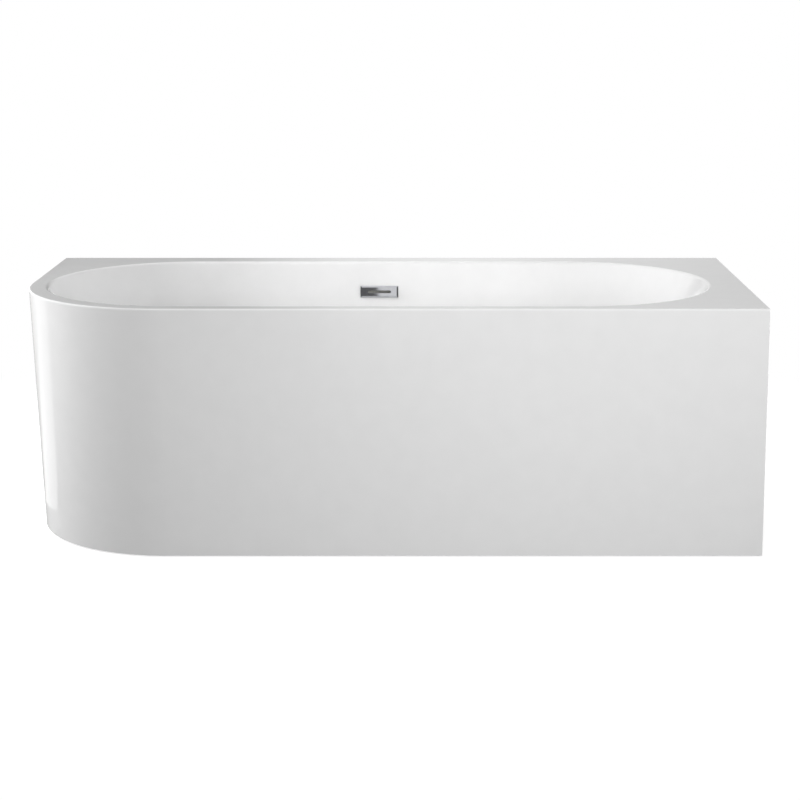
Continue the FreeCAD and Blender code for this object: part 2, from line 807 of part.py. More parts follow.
node(gather("weld_nut_set", weld_nuts), "weld_nuts")
node(gather("lock_nut_set", lock_nuts), "lock_nuts")

# Waste: flange and tube through the floor, sealed above and below, clamped by a nut, with a tee below

drain = (waste_x, basin_y)
tube_bore = d.waste_tube_radius - d.waste_tube_wall
flange_under = drain_floor + d.top_seal_thickness
flange_top = flange_under + d.flange_thickness
tube_end = drain_floor - d.waste_tube_length
floor_under = drain_floor - backing
nut_top = floor_under - d.bottom_seal_thickness
seal_bore = d.waste_tube_radius + d.running_gap

node(turned("flange", [
    (tube_bore, 0),
    (d.waste_tube_radius, 0),
    (d.waste_tube_radius, flange_under - tube_end),
    (d.flange_radius, flange_under - tube_end),
    (d.flange_radius, flange_top - tube_end - d.flange_bevel),
    (d.flange_radius - d.flange_bevel, flange_top - tube_end),
    (tube_bore, flange_top - tube_end),
], *drain, tube_end), "waste_flange")
top_seal = ring("top_seal", seal_bore, d.top_seal_radius, d.top_seal_thickness, *drain, drain_floor)
bottom_seal = ring("bottom_seal", seal_bore, d.bottom_seal_radius, d.bottom_seal_thickness, *drain, nut_top)
node(top_seal, "waste_top_seal")
node(bottom_seal, "waste_bottom_seal")
nut_base = (*drain, nut_top - d.lock_nut_height)
nut_blank = hexagon("waste_nut_blank", nut_base, d.lock_nut_radius, d.lock_nut_height)
nut_bore = rod("waste_nut_bore", nut_base, seal_bore, d.lock_nut_height)
node(cut("waste_nut", nut_blank, nut_bore), "waste_lock_nut")

tee_top = tube_end + d.tee_socket
tee_shoulder = tube_end - d.running_gap
tee_under = tee_shoulder - d.tee_chamber
tee_radius = seal_bore + d.tee_wall
outlet_end = tee_under - d.outlet_length
outlet_bore = d.outlet_radius - d.tee_wall
inlet_z = tee_under + d.tee_inlet_rise
inlet_end = basin_y + tee_radius + d.barb_length
tee_body = turned("tee_body", [
    (outlet_bore, 0),
    (d.outlet_radius, 0),
    (d.outlet_radius, d.outlet_length),
    (tee_radius, d.outlet_length),
    (tee_radius, tee_top - outlet_end),
    (seal_bore, tee_top - outlet_end),
    (seal_bore, tee_shoulder - outlet_end),
    (tube_bore, tee_shoulder - outlet_end),
    (tube_bore, d.outlet_length + d.tee_wall),
    (outlet_bore, d.outlet_length + d.tee_wall),
], *drain, outlet_end)
inlet_start = (waste_x, basin_y + tube_bore, inlet_z)
inlet_length = inlet_end - basin_y - tube_bore
inlet_barb = rod("inlet_barb", inlet_start, d.barb_radius, inlet_length, "y")
inlet_trim = rod("inlet_trim", (*drain, tee_under), tube_bore, d.tee_chamber)
inlet_room = d.barb_radius - d.barb_wall
inlet_bore = rod("inlet_bore", (waste_x, basin_y, inlet_z), inlet_room, inlet_end - basin_y, "y")
tee_union = fuse("tee_union", tee_body, cut("inlet_pipe", inlet_barb, inlet_trim))
node(cut("tee", tee_union, inlet_bore), "waste_tee")

union_base = (*drain, tee_top - d.union_nut_height)
union_blank = hexagon("union_blank", union_base, d.union_nut_radius, d.union_nut_height)
union_bore = rod("union_bore", union_base, tee_radius, d.union_nut_height)
node(cut("union_nut", union_blank, union_bore), "tee_union_nut")

# Push plug, shown raised: a cap and its seal on a stem that slides in a guide across the waste tube

seal_under = flange_top + d.running_gap + d.plug_travel
cap_under = seal_under + d.plug_seal_thickness
guide_bore = d.plug_stem_radius + d.running_gap
guide_base = tube_end + d.guide_spoke
SPOKES = 3

spokes = []
for index in range(SPOKES):
    spoke = doc.addObject("Part::Box", f"guide_spoke_{index}")
    bind(spoke, Length=d.waste_tube_radius, Width=d.guide_spoke, Height=d.guide_spoke * 2)
    spoke.Placement.Rotation = FreeCAD.Rotation(V(0, 0, 1), index * 360 / SPOKES)
    spokes.append(place(spoke, *drain, guide_base))
spoke_reach = rod("spoke_reach", (*drain, guide_base), tube_bore, d.guide_length)
spoke_set = common("spoke_set", fuse("spoke_fan", *spokes), spoke_reach)
guide_sleeve = rod("guide_sleeve", (*drain, guide_base), d.guide_radius, d.guide_length)
guide_hole = rod("guide_hole", (*drain, guide_base), guide_bore, d.guide_length)
node(cut("guide", fuse("guide_blank", guide_sleeve, spoke_set), guide_hole), "plug_guide")

stem_base = (*drain, cap_under - d.plug_stem_length)
node(rod("plug_rod", stem_base, d.plug_stem_radius, d.plug_stem_length), "plug_stem")
plug_washer = ring(
    "plug_washer", d.plug_stem_radius, d.plug_seal_radius, d.plug_seal_thickness, *drain, seal_under)
node(plug_washer, "plug_seal")
node(turned("plug_dome", [
    (0, 0),
    (d.plug_radius, 0),
    (d.plug_radius, d.plug_edge),
    (d.plug_radius - d.plug_bevel, d.plug_edge + d.plug_crown),
    (0, d.plug_edge + d.plug_crown),
], *drain, cap_under), "plug_cap")


def helix_wire(radius, bottom, top, turns):
    """A helix of half-turn arcs about the drain's axis, from bottom to top."""
    halves = int(turns * 2)
    points = []
    for step in range(halves * 2 + 1):
        angle = math.pi * step / 2
        height = bottom + (top - bottom) * step / (halves * 2)
        across = V(radius * math.cos(angle), radius * math.sin(angle), 0)
        points.append(V(waste_x.value, basin_y.value, height) + across)
    arcs = [Part.Arc(*points[step:step + 3]).toShape() for step in range(0, halves * 2, 2)]
    return Part.Wire(arcs)


SPRING_TURNS = 5
spring_low = (guide_base + d.guide_length + d.spring_wire / 2 + d.running_gap).value
spring_high = (seal_under - d.spring_wire / 2 - d.running_gap).value
spring_path = helix_wire(d.spring_radius.value, spring_low, spring_high, SPRING_TURNS)
spring_start = spring_path.Vertexes[0].Point
spring_heading = spring_path.Edges[0].tangentAt(spring_path.Edges[0].FirstParameter)
spring_section = Part.Wire(Part.Circle(spring_start, spring_heading, d.spring_wire.value / 2).toShape())
turn_length = len(spring_path.Edges) // SPRING_TURNS
spring_gap = min(
    low.distToShape(high)[0] for low, high in zip(spring_path.Edges, spring_path.Edges[turn_length:]))
print(f"plug spring: least gap between turns {spring_gap - d.spring_wire.value:.2f} mm")
spring = doc.addObject("Part::Feature", "spring")
spring.Shape = spring_path.makePipeShell([spring_section], True, False)
node(spring, "plug_spring")

# Overflow: cover and seal inside the basin, seal and body behind its wall, held by two screws

cover_back = -d.front_seal_thickness
cover_front = cover_back - d.cover_thickness
body_face = wall_back + d.rear_seal_thickness
body_back = body_face + d.body_flange_thickness
barb_y = body_back + d.body_depth / 2
posts = {"left": -d.post_offset, "right": d.post_offset}
screw_hole = d.machine_screw_radius + d.running_gap


def wall_plate(name, length, height, y, thickness):
    """A plate centred on the overflow, across local X and Z."""
    return box(name, (-length / 2, y, -height / 2), (length, thickness, height))


def post_rods(name, radius, y, length):
    return [rod(f"{name}_{word}", (x, y, 0), radius, length, "y") for word, x in posts.items()]


def bevelled_border(name, length, height, y, inset, depth):
    """A low pyramid on the overflow, from its flat front face back to the full outline."""
    border = doc.addObject("Part::Wedge", name)
    face_x, face_z = length / 2 - inset, height / 2 - inset
    bind(border, Xmin=-face_x, Xmax=face_x, Zmin=-face_z, Zmax=face_z)
    bind(border, X2min=-length / 2, X2max=length / 2, Z2min=-height / 2, Z2max=height / 2)
    return bind(border, Ymin=y, Ymax=y + depth)


border_back = cover_front + d.cover_bevel_depth
cover_border = bevelled_border(
    "cover_border", d.cover_length, d.cover_height, cover_front, d.cover_bevel, d.cover_bevel_depth)
cover_plate = wall_plate("cover_plate", d.cover_length, d.cover_height, border_back, cover_back - border_back)
cover_slot = slot("cover_slot", d.slot_length, d.slot_height, cover_front - d.skin, d.cover_thickness * 2)
cover_dish = slot(
    "cover_dish", d.slot_length + d.dish_margin * 2, d.slot_height + d.dish_margin * 2,
    cover_front - d.skin, d.skin + d.dish_depth)
hollow_start = cover_front + d.dish_depth + d.cover_face
cover_hollow = slot("cover_hollow", d.mouth_length, d.mouth_height, hollow_start, d.cover_thickness)
cover_posts = post_rods("cover_post", d.post_radius, cover_back, wall_back - cover_back)
cover_bores = post_rods("cover_bore", d.machine_screw_radius, cover_back, backing * 2)
cover_blank = fuse("cover_blank", cover_border, cover_plate, *cover_posts)
cover = cut("cover", cover_blank, cover_slot, cover_dish, cover_hollow, *cover_bores)
node(on_back_wall(cover), "overflow_cover")

seal_length = d.cover_length - d.seal_inset * 2
seal_height = d.cover_height - d.seal_inset * 2
front_gasket = wall_plate("front_gasket", seal_length, seal_height, cover_back, d.front_seal_thickness)
front_gap = slot("front_gap", d.mouth_length, d.mouth_height, -d.skin, d.skin * 2)
front_posts = post_rods("front_post_hole", d.post_radius, -d.skin, d.skin * 2)
node(on_back_wall(cut("front_seal", front_gasket, front_gap, *front_posts)), "overflow_front_seal")

flange_length = d.cover_length + d.body_flange_margin * 2
flange_height = d.cover_height + d.body_flange_margin * 2
rear_gasket = wall_plate("rear_gasket", flange_length, flange_height, wall_back, d.rear_seal_thickness)
rear_gap = slot("rear_gap", d.mouth_length, d.mouth_height, nothing, backing * 2)
rear_posts = post_rods("rear_post_hole", screw_hole, nothing, backing * 2)
node(on_back_wall(cut("rear_seal", rear_gasket, rear_gap, *rear_posts)), "overflow_rear_seal")

body_plate = wall_plate("body_plate", flange_length, flange_height, body_face, d.body_flange_thickness)
body_height = d.mouth_height + d.body_wall * 2
body_case = wall_plate("body_case", d.body_length, body_height, body_back, d.body_depth)
barb_foot = -body_height / 2 - d.barb_length
body_barb = rod("body_barb", (0, barb_y, barb_foot), d.barb_radius, d.barb_length + d.body_wall)
room_depth = d.body_flange_thickness + d.body_depth - d.body_wall
body_room = wall_plate("body_room", d.mouth_length, d.mouth_height, body_face, room_depth)
body_bore = rod("body_bore", (0, barb_y, barb_foot), inlet_room, d.barb_length + body_height / 2)
body_holes = post_rods("body_hole", screw_hole, body_face, d.body_flange_thickness)
body_blank = fuse("body_blank", body_plate, body_case, body_barb)
node(on_back_wall(cut("overflow_case", body_blank, body_room, body_bore, *body_holes)), "overflow_body")

overflow_screws = []
for word, x in posts.items():
    head_radius, head_height = d.machine_screw_head_radius, d.machine_screw_head_height
    head = rod(f"overflow_head_{word}", (x, body_back, 0), head_radius, head_height, "y")
    shank_length = body_back - cover_back
    shank = rod(f"overflow_shank_{word}", (x, cover_back, 0), d.machine_screw_radius, shank_length, "y")
    overflow_screws.append(on_back_wall(fuse(f"overflow_screw_{word}", head, shank)))
node(gather("overflow_screw_set", overflow_screws), "overflow_screws")

# Overflow hose: down behind the back wall and forward under the floor, in the bath's YZ plane

lean = math.radians(wall_lean.value)
wall_out = V(0, math.cos(lean), -math.sin(lean))
wall_up = V(0, math.sin(lean), math.cos(lean))
overflow_centre = V(waste_x.value, overflow_y.value, overflow_z.value)
barb_tip = overflow_centre + wall_out * barb_y.value + wall_up * barb_foot.value
hose_top = barb_tip + wall_up * d.hose_grip.value
hose_foot = V(waste_x.value, (inlet_end - d.hose_grip).value, inlet_z.value)
fall = (hose_top.z - hose_foot.z) / math.cos(lean)
hose_corner = hose_top - wall_up * fall
bend = math.pi / 2 - lean
tangent = d.hose_bend_radius.value * math.tan(bend / 2)
bend_start = hose_corner + wall_up * tangent
bend_end = hose_corner - V(0, tangent, 0)
bend_centre = bend_end + V(0, 0, d.hose_bend_radius.value)
drop_length = (hose_top - bend_start).Length
bend_length = d.hose_bend_radius.value * bend
hose_length = drop_length + bend_length + (bend_end - hose_foot).Length


def hose_station(distance):
    """The point on the hose's centre line at a distance from its top, and the direction there."""
    if distance <= drop_length:
        return hose_top - wall_up * distance, -wall_up
    if distance <= drop_length + bend_length:
        angle = (distance - drop_length) / d.hose_bend_radius.value
        swept = lean + angle
        outward = V(0, math.cos(swept), -math.sin(swept))
        return bend_centre + outward * d.hose_bend_radius.value, V(0, -math.sin(swept), -math.cos(swept))
    return bend_end - V(0, distance - drop_length - bend_length, 0), V(0, -1, 0)


def hose_circle(distance, radius):
    """A circle round the hose's centre line whose seam always lies on the bath's X direction."""
    centre, heading = hose_station(distance)
    circle = Part.Circle(centre, heading, radius)
    circle.XAxis = V(1, 0, 0)
    return Part.Wire(circle.toShape())


ribbed_length = hose_length - 2 * d.hose_cuff_length.value
rib_count = int(ribbed_length / d.rib_pitch.value)
rib_pitch = ribbed_length / rib_count
cuff, root, crest = d.hose_cuff_radius.value, d.hose_root_radius.value, d.hose_crest_radius.value
# One rib, as shares of its pitch and the radius there: a valley, a flank and a crest
RIB_PROFILE = ((0.15, root), (0.35, root), (0.6, crest), (0.85, crest))
sections = [hose_circle(0, cuff), hose_circle(d.hose_cuff_length.value, cuff)]
for index in range(rib_count):
    start = d.hose_cuff_length.value + index * rib_pitch
    for share, radius in RIB_PROFILE:
        sections.append(hose_circle(start + share * rib_pitch, radius))
sections.append(hose_circle(hose_length - d.hose_cuff_length.value, cuff))
sections.append(hose_circle(hose_length, cuff))
bore_arc = Part.Arc(bend_start, hose_station(drop_length + bend_length / 2)[0], bend_end)
bore_path = Part.Wire([
    Part.LineSegment(hose_top, bend_start).toShape(),
    bore_arc.toShape(),
    Part.LineSegment(bend_end, hose_foot).toShape(),
])
bore = bore_path.makePipeShell([hose_circle(0, d.hose_bore_radius.value)], True, False)
hose = doc.addObject("Part::Feature", "hose")
hose.Shape = Part.makeLoft(sections, True, True).cut(bore)
node(hose, "overflow_hose")
print(f"overflow hose: {hose_length:.0f} mm long with {rib_count} ribs")


def hose_clamp(name):
    """A band round the hose's cuff with its worm housing, about local Z from the origin."""
    outer_radius = d.hose_cuff_radius + d.clamp_band
    band = cut(
        f"{name}_band", rod(f"{name}_outer", (0, 0, 0), outer_radius, d.clamp_width),
        rod(f"{name}_inner", (0, 0, 0), d.hose_cuff_radius, d.clamp_width))
    housing = box(
        f"{name}_housing", (-d.clamp_width / 2, d.hose_cuff_radius + d.clamp_band / 2, 0),
        (d.clamp_width, d.clamp_width / 2, d.clamp_width))
    return fuse(name, band, housing)


grip_middle = (d.hose_grip - d.clamp_width) / 2
upper_clamp = hose_clamp("upper_clamp")
turn(upper_clamp, V(1, 0, 0), -wall_lean)
clamp_z = barb_foot + grip_middle
place(upper_clamp, waste_x, overflow_y + barb_y * cosine(wall_lean) + clamp_z * sine(wall_lean),
      overflow_z - barb_y * sine(wall_lean) + clamp_z * cosine(wall_lean))
lower_clamp = hose_clamp("lower_clamp")
turn(lower_clamp, V(1, 0, 0), -90)
place(lower_clamp, waste_x, inlet_end - d.hose_grip + grip_middle, inlet_z)
node(gather("clamp_set", [upper_clamp, lower_clamp]), "hose_clamps")

# Every object has to have come out right before anything is written

doc.recompute()
failed = [item.Name for item in doc.Objects if "Invalid" in item.State or "Error" in item.State]
unsound = [name for name, item in nodes.items()
           if item.Shape.isNull() or not item.Shape.isValid() or not item.Shape.Solids]
if failed or unsound:
    raise RuntimeError(f"failed objects: {failed}; unsound sub-parts: {unsound}")

os.makedirs("parts", exist_ok=True)
for name, item in nodes.items():
    item.Shape.exportStep(os.path.join("parts", f"{name}.step"))
print(f"{len(nodes)} sub-parts written")
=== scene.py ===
# %% [markdown]
# # A corner bath with one rounded end
# The bath is an acrylic basin and a separate acrylic apron on a welded frame with screw feet. The CAD model gives
# every solid piece its real size and place. This lesson adds what the eye needs: a camera that stands where the
# photographer stood, a finish for each material, the forms that CAD leaves plain, and soft light.

import json
import math

import bpy
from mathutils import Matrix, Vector


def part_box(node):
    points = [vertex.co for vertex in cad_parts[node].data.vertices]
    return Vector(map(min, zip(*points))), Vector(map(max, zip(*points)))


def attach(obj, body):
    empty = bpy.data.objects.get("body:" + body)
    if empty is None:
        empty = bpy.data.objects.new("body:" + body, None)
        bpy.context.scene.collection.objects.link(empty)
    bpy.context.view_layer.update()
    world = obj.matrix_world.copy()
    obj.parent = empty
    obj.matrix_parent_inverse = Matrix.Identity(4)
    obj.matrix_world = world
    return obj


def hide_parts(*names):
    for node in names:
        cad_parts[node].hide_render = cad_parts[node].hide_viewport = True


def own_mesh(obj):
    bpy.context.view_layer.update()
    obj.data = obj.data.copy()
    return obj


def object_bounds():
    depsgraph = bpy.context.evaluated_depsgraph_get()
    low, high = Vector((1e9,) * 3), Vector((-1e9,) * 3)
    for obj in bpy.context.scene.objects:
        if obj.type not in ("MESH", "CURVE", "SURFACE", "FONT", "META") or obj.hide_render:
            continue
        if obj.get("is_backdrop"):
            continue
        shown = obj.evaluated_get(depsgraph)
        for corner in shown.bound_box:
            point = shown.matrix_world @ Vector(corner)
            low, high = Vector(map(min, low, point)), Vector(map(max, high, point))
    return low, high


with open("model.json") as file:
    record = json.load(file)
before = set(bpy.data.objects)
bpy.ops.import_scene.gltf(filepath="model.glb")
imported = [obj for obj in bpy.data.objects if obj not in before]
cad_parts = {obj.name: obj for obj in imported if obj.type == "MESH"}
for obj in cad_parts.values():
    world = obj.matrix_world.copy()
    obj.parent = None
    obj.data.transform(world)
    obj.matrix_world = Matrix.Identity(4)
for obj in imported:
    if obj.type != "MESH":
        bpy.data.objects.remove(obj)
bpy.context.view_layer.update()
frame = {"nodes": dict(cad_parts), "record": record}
nodes = frame["nodes"]
scene = bpy.context.scene
MM = 0.001

# %% [markdown]
# ## Camera
# The bath's upright edges stay almost upright in the photograph although the camera looks down into the basin.
# That is the work of a shifted lens. The focal length, the height and the tilt were fitted to the straight edges
# and to the two half circles of the rim. A part of the drop is taken by tilt and a small part by lens shift, so
# that the shift stays modest when the camera is carried to another side.

# %% Stand the camera where the photographer stood
IMAGE_SIDE = 800
FOCAL_PIXELS = 1792.6
PITCH_DEGREES = 9.333
SENSOR_MM = 36
LENS_SHIFT = (-0.0314, -0.15)
CAMERA_PLACE = (0.0902, -4.258, 1.2728)
VIEW_LIMIT = 60

lens = bpy.data.cameras.new("photo_camera")
lens.sensor_width = SENSOR_MM
lens.lens = FOCAL_PIXELS / IMAGE_SIDE * SENSOR_MM
lens.shift_x, lens.shift_y = LENS_SHIFT
lens.clip_end = VIEW_LIMIT
camera = bpy.data.objects.new("photo_camera", lens)
camera.location = CAMERA_PLACE
camera.rotation_euler = (math.radians(90 - PITCH_DEGREES), 0, 0)
scene.collection.objects.link(camera)
scene.camera = camera
print(f"camera with a {lens.lens:.1f} mm lens, {-camera.location.y:.2f} m in front of the bath's middle")

# %% [markdown]
# ## Helpers for finishes
# Colours are written as the sRGB hex values that a paint chart would give, and turned to linear light once. One
# small function adds a node with its settings, values and links, and others use it for what comes back in most
# finishes: sums, noise, colour ramps, ranges and bumps. So each finish reads from top to bottom.
# Patterns read Object coordinates, which are metres here, so a pattern's scale is one over its real size.

# %% Colour and node helpers
NOISE_LOW, NOISE_HIGH = 0.3, 0.7

finishes = {}


def linear(hex_colour):
    """Linear RGBA from an sRGB hex colour."""
    channels = [int(hex_colour[place:place + 2], 16) / 255 for place in (1, 3, 5)]
    return (*(c / 12.92 if c <= 0.04045 else ((c + 0.055) / 1.055) ** 2.4 for c in channels), 1)


def feed(tree, node, inputs):
    """Feeds a node's inputs. Each takes a plain value, an output socket to link, or a list of output sockets."""
    for key, value in inputs.items():
        for source in value if isinstance(value, list) else [value]:
            if isinstance(source, bpy.types.NodeSocket):
                tree.links.new(source, node.inputs[key])
            else:
                node.inputs[key].default_value = source


def add(tree, kind, settings=None, inputs=None):
    """Adds a node with its settings and inputs."""
    made = tree.nodes.new(kind)
    for name, value in (settings or {}).items():
        setattr(made, name, value)
    feed(tree, made, inputs or {})
    return made


def calculate(tree, operation, *values, clamped=False):
    """The result of a sum on plain values and sockets. If it is clamped, it stays between 0 and 1."""
    settings = {"operation": operation, "use_clamp": clamped}
    return add(tree, "ShaderNodeMath", settings, dict(enumerate(values))).outputs[0]


def new_finish(name):
    """A material with its tree and the Object coordinates that its patterns read."""
    material = bpy.data.materials.new(name)
    material.use_nodes = True
    tree = material.node_tree
    return material, tree, add(tree, "ShaderNodeTexCoord").outputs["Object"]


def keep_finish(key, material, inputs):
    """Feeds the shader of a finish and keeps the finish under a short name."""
    tree = material.node_tree
    feed(tree, tree.nodes["Principled BSDF"], inputs)
    finishes[key] = material
    print(material.name)


def per_mm(size):
    """The texture scale that gives a pattern this size in millimetres on Object coordinates."""
    return 1 / (size * MM)


def noise(tree, where, size, detail):
    """Cloudy noise of this size in millimetres."""
    return add(tree, "ShaderNodeTexNoise", None, {
        "Vector": where, "Scale": per_mm(size), "Detail": detail}).outputs["Fac"]


def ramp(tree, value, stops):
    """The colour that a value has on a ramp, which is given by places and hex colours."""
    made = add(tree, "ShaderNodeValToRGB", None, {"Fac": value})
    elements = made.color_ramp.elements
    for index, (place, hex_colour) in enumerate(stops):
        stop = elements[index] if index < 2 else elements.new(place)
        stop.position = place
        stop.color = linear(hex_colour)
    return made.outputs["Color"]


def spread(tree, value, low, high):
    """Spreads the range where most of a noise lies over another range."""
    return add(tree, "ShaderNodeMapRange", None, {
        "Value": value, "From Min": NOISE_LOW, "From Max": NOISE_HIGH, "To Min": low, "To Max": high,
    }).outputs["Result"]


def bumps(tree, height, depth, strength):
    """A surface that follows a height, with bumps of this depth in millimetres."""
    return add(tree, "ShaderNodeBump", None, {
        "Height": height, "Distance": depth * MM, "Strength": strength}).outputs["Normal"]


print("helpers ready")

# %% [markdown]
# ## White sanitary acrylic
# Basin and apron are acrylic sheet, drawn by vacuum over a mould. The sheet comes out white and very glossy. Only
# two things tell it from a perfect mirror of white paint: a ripple of a few hundredths of a millimetre where the
# sheet stretched over the mould, which lets reflections waver, and a faint unevenness of the polish.

# %% Acrylic
# To the eye: a deep, even white with clear reflections that waver a little
material, tree, where = new_finish("vacuum_formed_acrylic")
ripple = noise(tree, where, 160, 1.0)
polish = noise(tree, where, 45, 3.0)
tone = ramp(tree, polish, [(0.3, "#EFEFEF"), (0.7, "#F1F1F1")])
gloss = spread(tree, polish, 0.05, 0.09)
waver = bumps(tree, ripple, 0.03, 1.0)
keep_finish("acrylic", material, {"Base Color": tone, "Roughness": gloss, "Normal": waver, "IOR": 1.49})

# %% [markdown]
# ## Glass fibre backing
# The back of the sheet is stiffened with chopped glass strands in polyester resin, sprayed on and rolled down. It
# is a dull straw white with strands about 50 mm long lying every way. Noise that is stretched along one direction
# draws one set of strands, and three sets at different turns are laid over each other.

# %% Glass fibre and resin
# To the eye: a dull straw white with pale strands lying every way, and no clear reflection
material, tree, where = new_finish("sprayed_glass_fibre")
layers = []
for turn in (0.35, 1.4, 2.45):
    swing = add(tree, "ShaderNodeMapping", None, {"Vector": where, "Rotation": (turn, turn / 2, turn)})
    strands = add(tree, "ShaderNodeMapping", None, {
        "Vector": swing.outputs["Vector"], "Scale": (per_mm(50), per_mm(3), per_mm(3))})
    layers.append(add(tree, "ShaderNodeTexNoise", None, {
        "Vector": strands.outputs["Vector"], "Scale": 1.0, "Detail": 2.0}).outputs["Fac"])
low_pair = calculate(tree, "MAXIMUM", layers[0], layers[1])
strand_mat = calculate(tree, "MAXIMUM", low_pair, layers[2])
patches = noise(tree, where, 120, 3.0)
blotch = calculate(tree, "MULTIPLY_ADD", patches, 0.4, strand_mat)
straw = ramp(tree, blotch, [(0.62, "#B9B094"), (0.78, "#D3CCB4"), (0.95, "#E6E2D2")])
rough_coat = bumps(tree, strand_mat, 1.5, 0.7)
keep_finish("glass_fibre", material, {
    "Base Color": straw, "Normal": rough_coat, "Roughness": 0.55, "IOR": 1.54})

# %% [markdown]
# ## Chipboard and softwood
# A flat board of pressed wood chips is bedded into the laminate under the floor, and a sawn batten of spruce is
# glued inside the apron. Chips are cells a few millimetres wide with a colour each. Sawn spruce has growth lines
# that run along the batten, which lies along X, so its noise is stretched that way.

# %% Chipboard
# To the eye: a mottle of tan and brown chips without shine
material, tree, where = new_finish("pressed_chipboard")
lying = add(tree, "ShaderNodeMapping", None, {
    "Vector": where, "Scale": (per_mm(7), per_mm(4), per_mm(2))})
chips = add(tree, "ShaderNodeTexVoronoi", None, {"Vector": lying.outputs["Vector"], "Scale": 1.0})
each_chip = add(tree, "ShaderNodeSeparateColor", None, {"Color": chips.outputs["Color"]})
wood = ramp(tree, each_chip.outputs["Red"], [
    (0.0, "#8E6B43"), (0.35, "#B08C5E"), (0.7, "#C6A678"), (1.0, "#D8BE95")])
pressed = bumps(tree, each_chip.outputs["Green"], 0.3, 0.5)
keep_finish("chipboard", material, {"Base Color": wood, "Normal": pressed, "Roughness": 0.75})

# %% Spruce
# To the eye: pale yellow wood with darker lines along it
material, tree, where = new_finish("sawn_spruce")
along = add(tree, "ShaderNodeMapping", None, {
    "Vector": where, "Scale": (per_mm(260), per_mm(5), per_mm(5))})
grain = add(tree, "ShaderNodeTexNoise", None, {
    "Vector": along.outputs["Vector"], "Scale": 1.0, "Detail": 5.0, "Distortion": 0.4})
spruce = ramp(tree, grain.outputs["Fac"], [(0.3, "#B98E5A"), (0.5, "#D9B98A"), (0.7, "#E6CDA3")])
saw_marks = bumps(tree, grain.outputs["Fac"], 0.4, 0.6)
keep_finish("spruce", material, {"Base Color": spruce, "Normal": saw_marks, "Roughness": 0.7})

# %% [markdown]
# ## Galvanised tube and plated fasteners
# Hot zinc freezes on steel tube in flat crystals a centimetre or so across, each with its own grey. Screws, nuts
# and brackets are plated instead, which leaves an even, slightly warm shine with fine streaks.

# %% Galvanised steel
# To the eye: patches of lighter and darker grey, each with its own shine
material, tree, where = new_finish("galvanised_steel")
crystals = add(tree, "ShaderNodeTexVoronoi", None, {"Vector": where, "Scale": per_mm(11)})
each_crystal = add(tree, "ShaderNodeSeparateColor", None, {"Color": crystals.outputs["Color"]})
spangle = ramp(tree, each_crystal.outputs["Red"], [(0.0, "#8F9498"), (0.5, "#A6ABAF"), (1.0, "#BEC2C5")])
dulling = add(tree, "ShaderNodeMapRange", None, {
    "Value": each_crystal.outputs["Green"], "To Min": 0.34, "To Max": 0.52})
keep_finish("galvanised", material, {
    "Base Color": spangle, "Roughness": dulling.outputs["Result"], "Metallic": 1.0})

# %% Zinc plate
# To the eye: an even, soft metal shine, slightly warm
material, tree, where = new_finish("zinc_plate")
streaks = noise(tree, where, 3, 4.0)
plating = ramp(tree, streaks, [(0.35, "#AFAFAA"), (0.65, "#CFCFCB")])
plate_gloss = spread(tree, streaks, 0.22, 0.36)
keep_finish("zinc", material, {"Base Color": plating, "Roughness": plate_gloss, "Metallic": 1.0})

# %% [markdown]
# ## Chrome, brass and spring steel
# The overflow cover, the waste flange and the plug cap are chrome plated. Chrome is a mirror that gives back a
# little more than half of the light, so its tone is whatever stands around it. The plug's stem and guide are
# turned brass, with the fine rings that the lathe leaves, drawn coarser than they are so that they show.

# %% Chrome
# To the eye: a clear mirror of the room, with sharp edges between light and dark
material, tree, where = new_finish("polished_chrome")
wiping = noise(tree, where, 18, 3.0)
film = ramp(tree, wiping, [(0.35, "#C0C1C5"), (0.65, "#C4C5C9")])
mirror = spread(tree, wiping, 0.02, 0.04)
keep_finish("chrome", material, {"Base Color": film, "Roughness": mirror, "Metallic": 1.0})

# %% Brass
# One radian of the wave is 1.5 mm, so the rings are 9.4 mm apart, far coarser than a lathe leaves them
RADIAN_MM = 1.5
WAVE_RADIANS = 20  # of a wave texture, for each unit of its scale

# To the eye: yellow metal with a soft shine, banded by the lathe's rings
material, tree, where = new_finish("turned_brass")
lathe = add(tree, "ShaderNodeTexWave", {"bands_direction": "Z"}, {
    "Vector": where, "Scale": per_mm(RADIAN_MM) / WAVE_RADIANS, "Distortion": 0.3})
brass = ramp(tree, lathe.outputs["Fac"], [(0.0, "#B08F4E"), (1.0, "#CDB070")])
rings = bumps(tree, lathe.outputs["Fac"], 0.05, 0.6)
keep_finish("brass", material, {"Base Color": brass, "Normal": rings, "Metallic": 1.0, "Roughness": 0.28})

# %% Spring wire
# To the eye: plain grey metal with a fairly sharp shine
material, tree, where = new_finish("drawn_spring_wire")
drawing = noise(tree, where, 2, 2.0)
wire = ramp(tree, drawing, [(0.3, "#8C8E90"), (0.7, "#B2B4B5")])
keep_finish("spring", material, {"Base Color": wire, "Metallic": 1.0, "Roughness": 0.3})

# %% [markdown]
# ## Moulded plastics and rubber
# Feet and tube caps are black polyamide with the dull grain of an etched mould. Waste fittings are white
# polypropylene, a little waxy. The hose is grey soft PVC, and the seals are black rubber with a bloom on it.

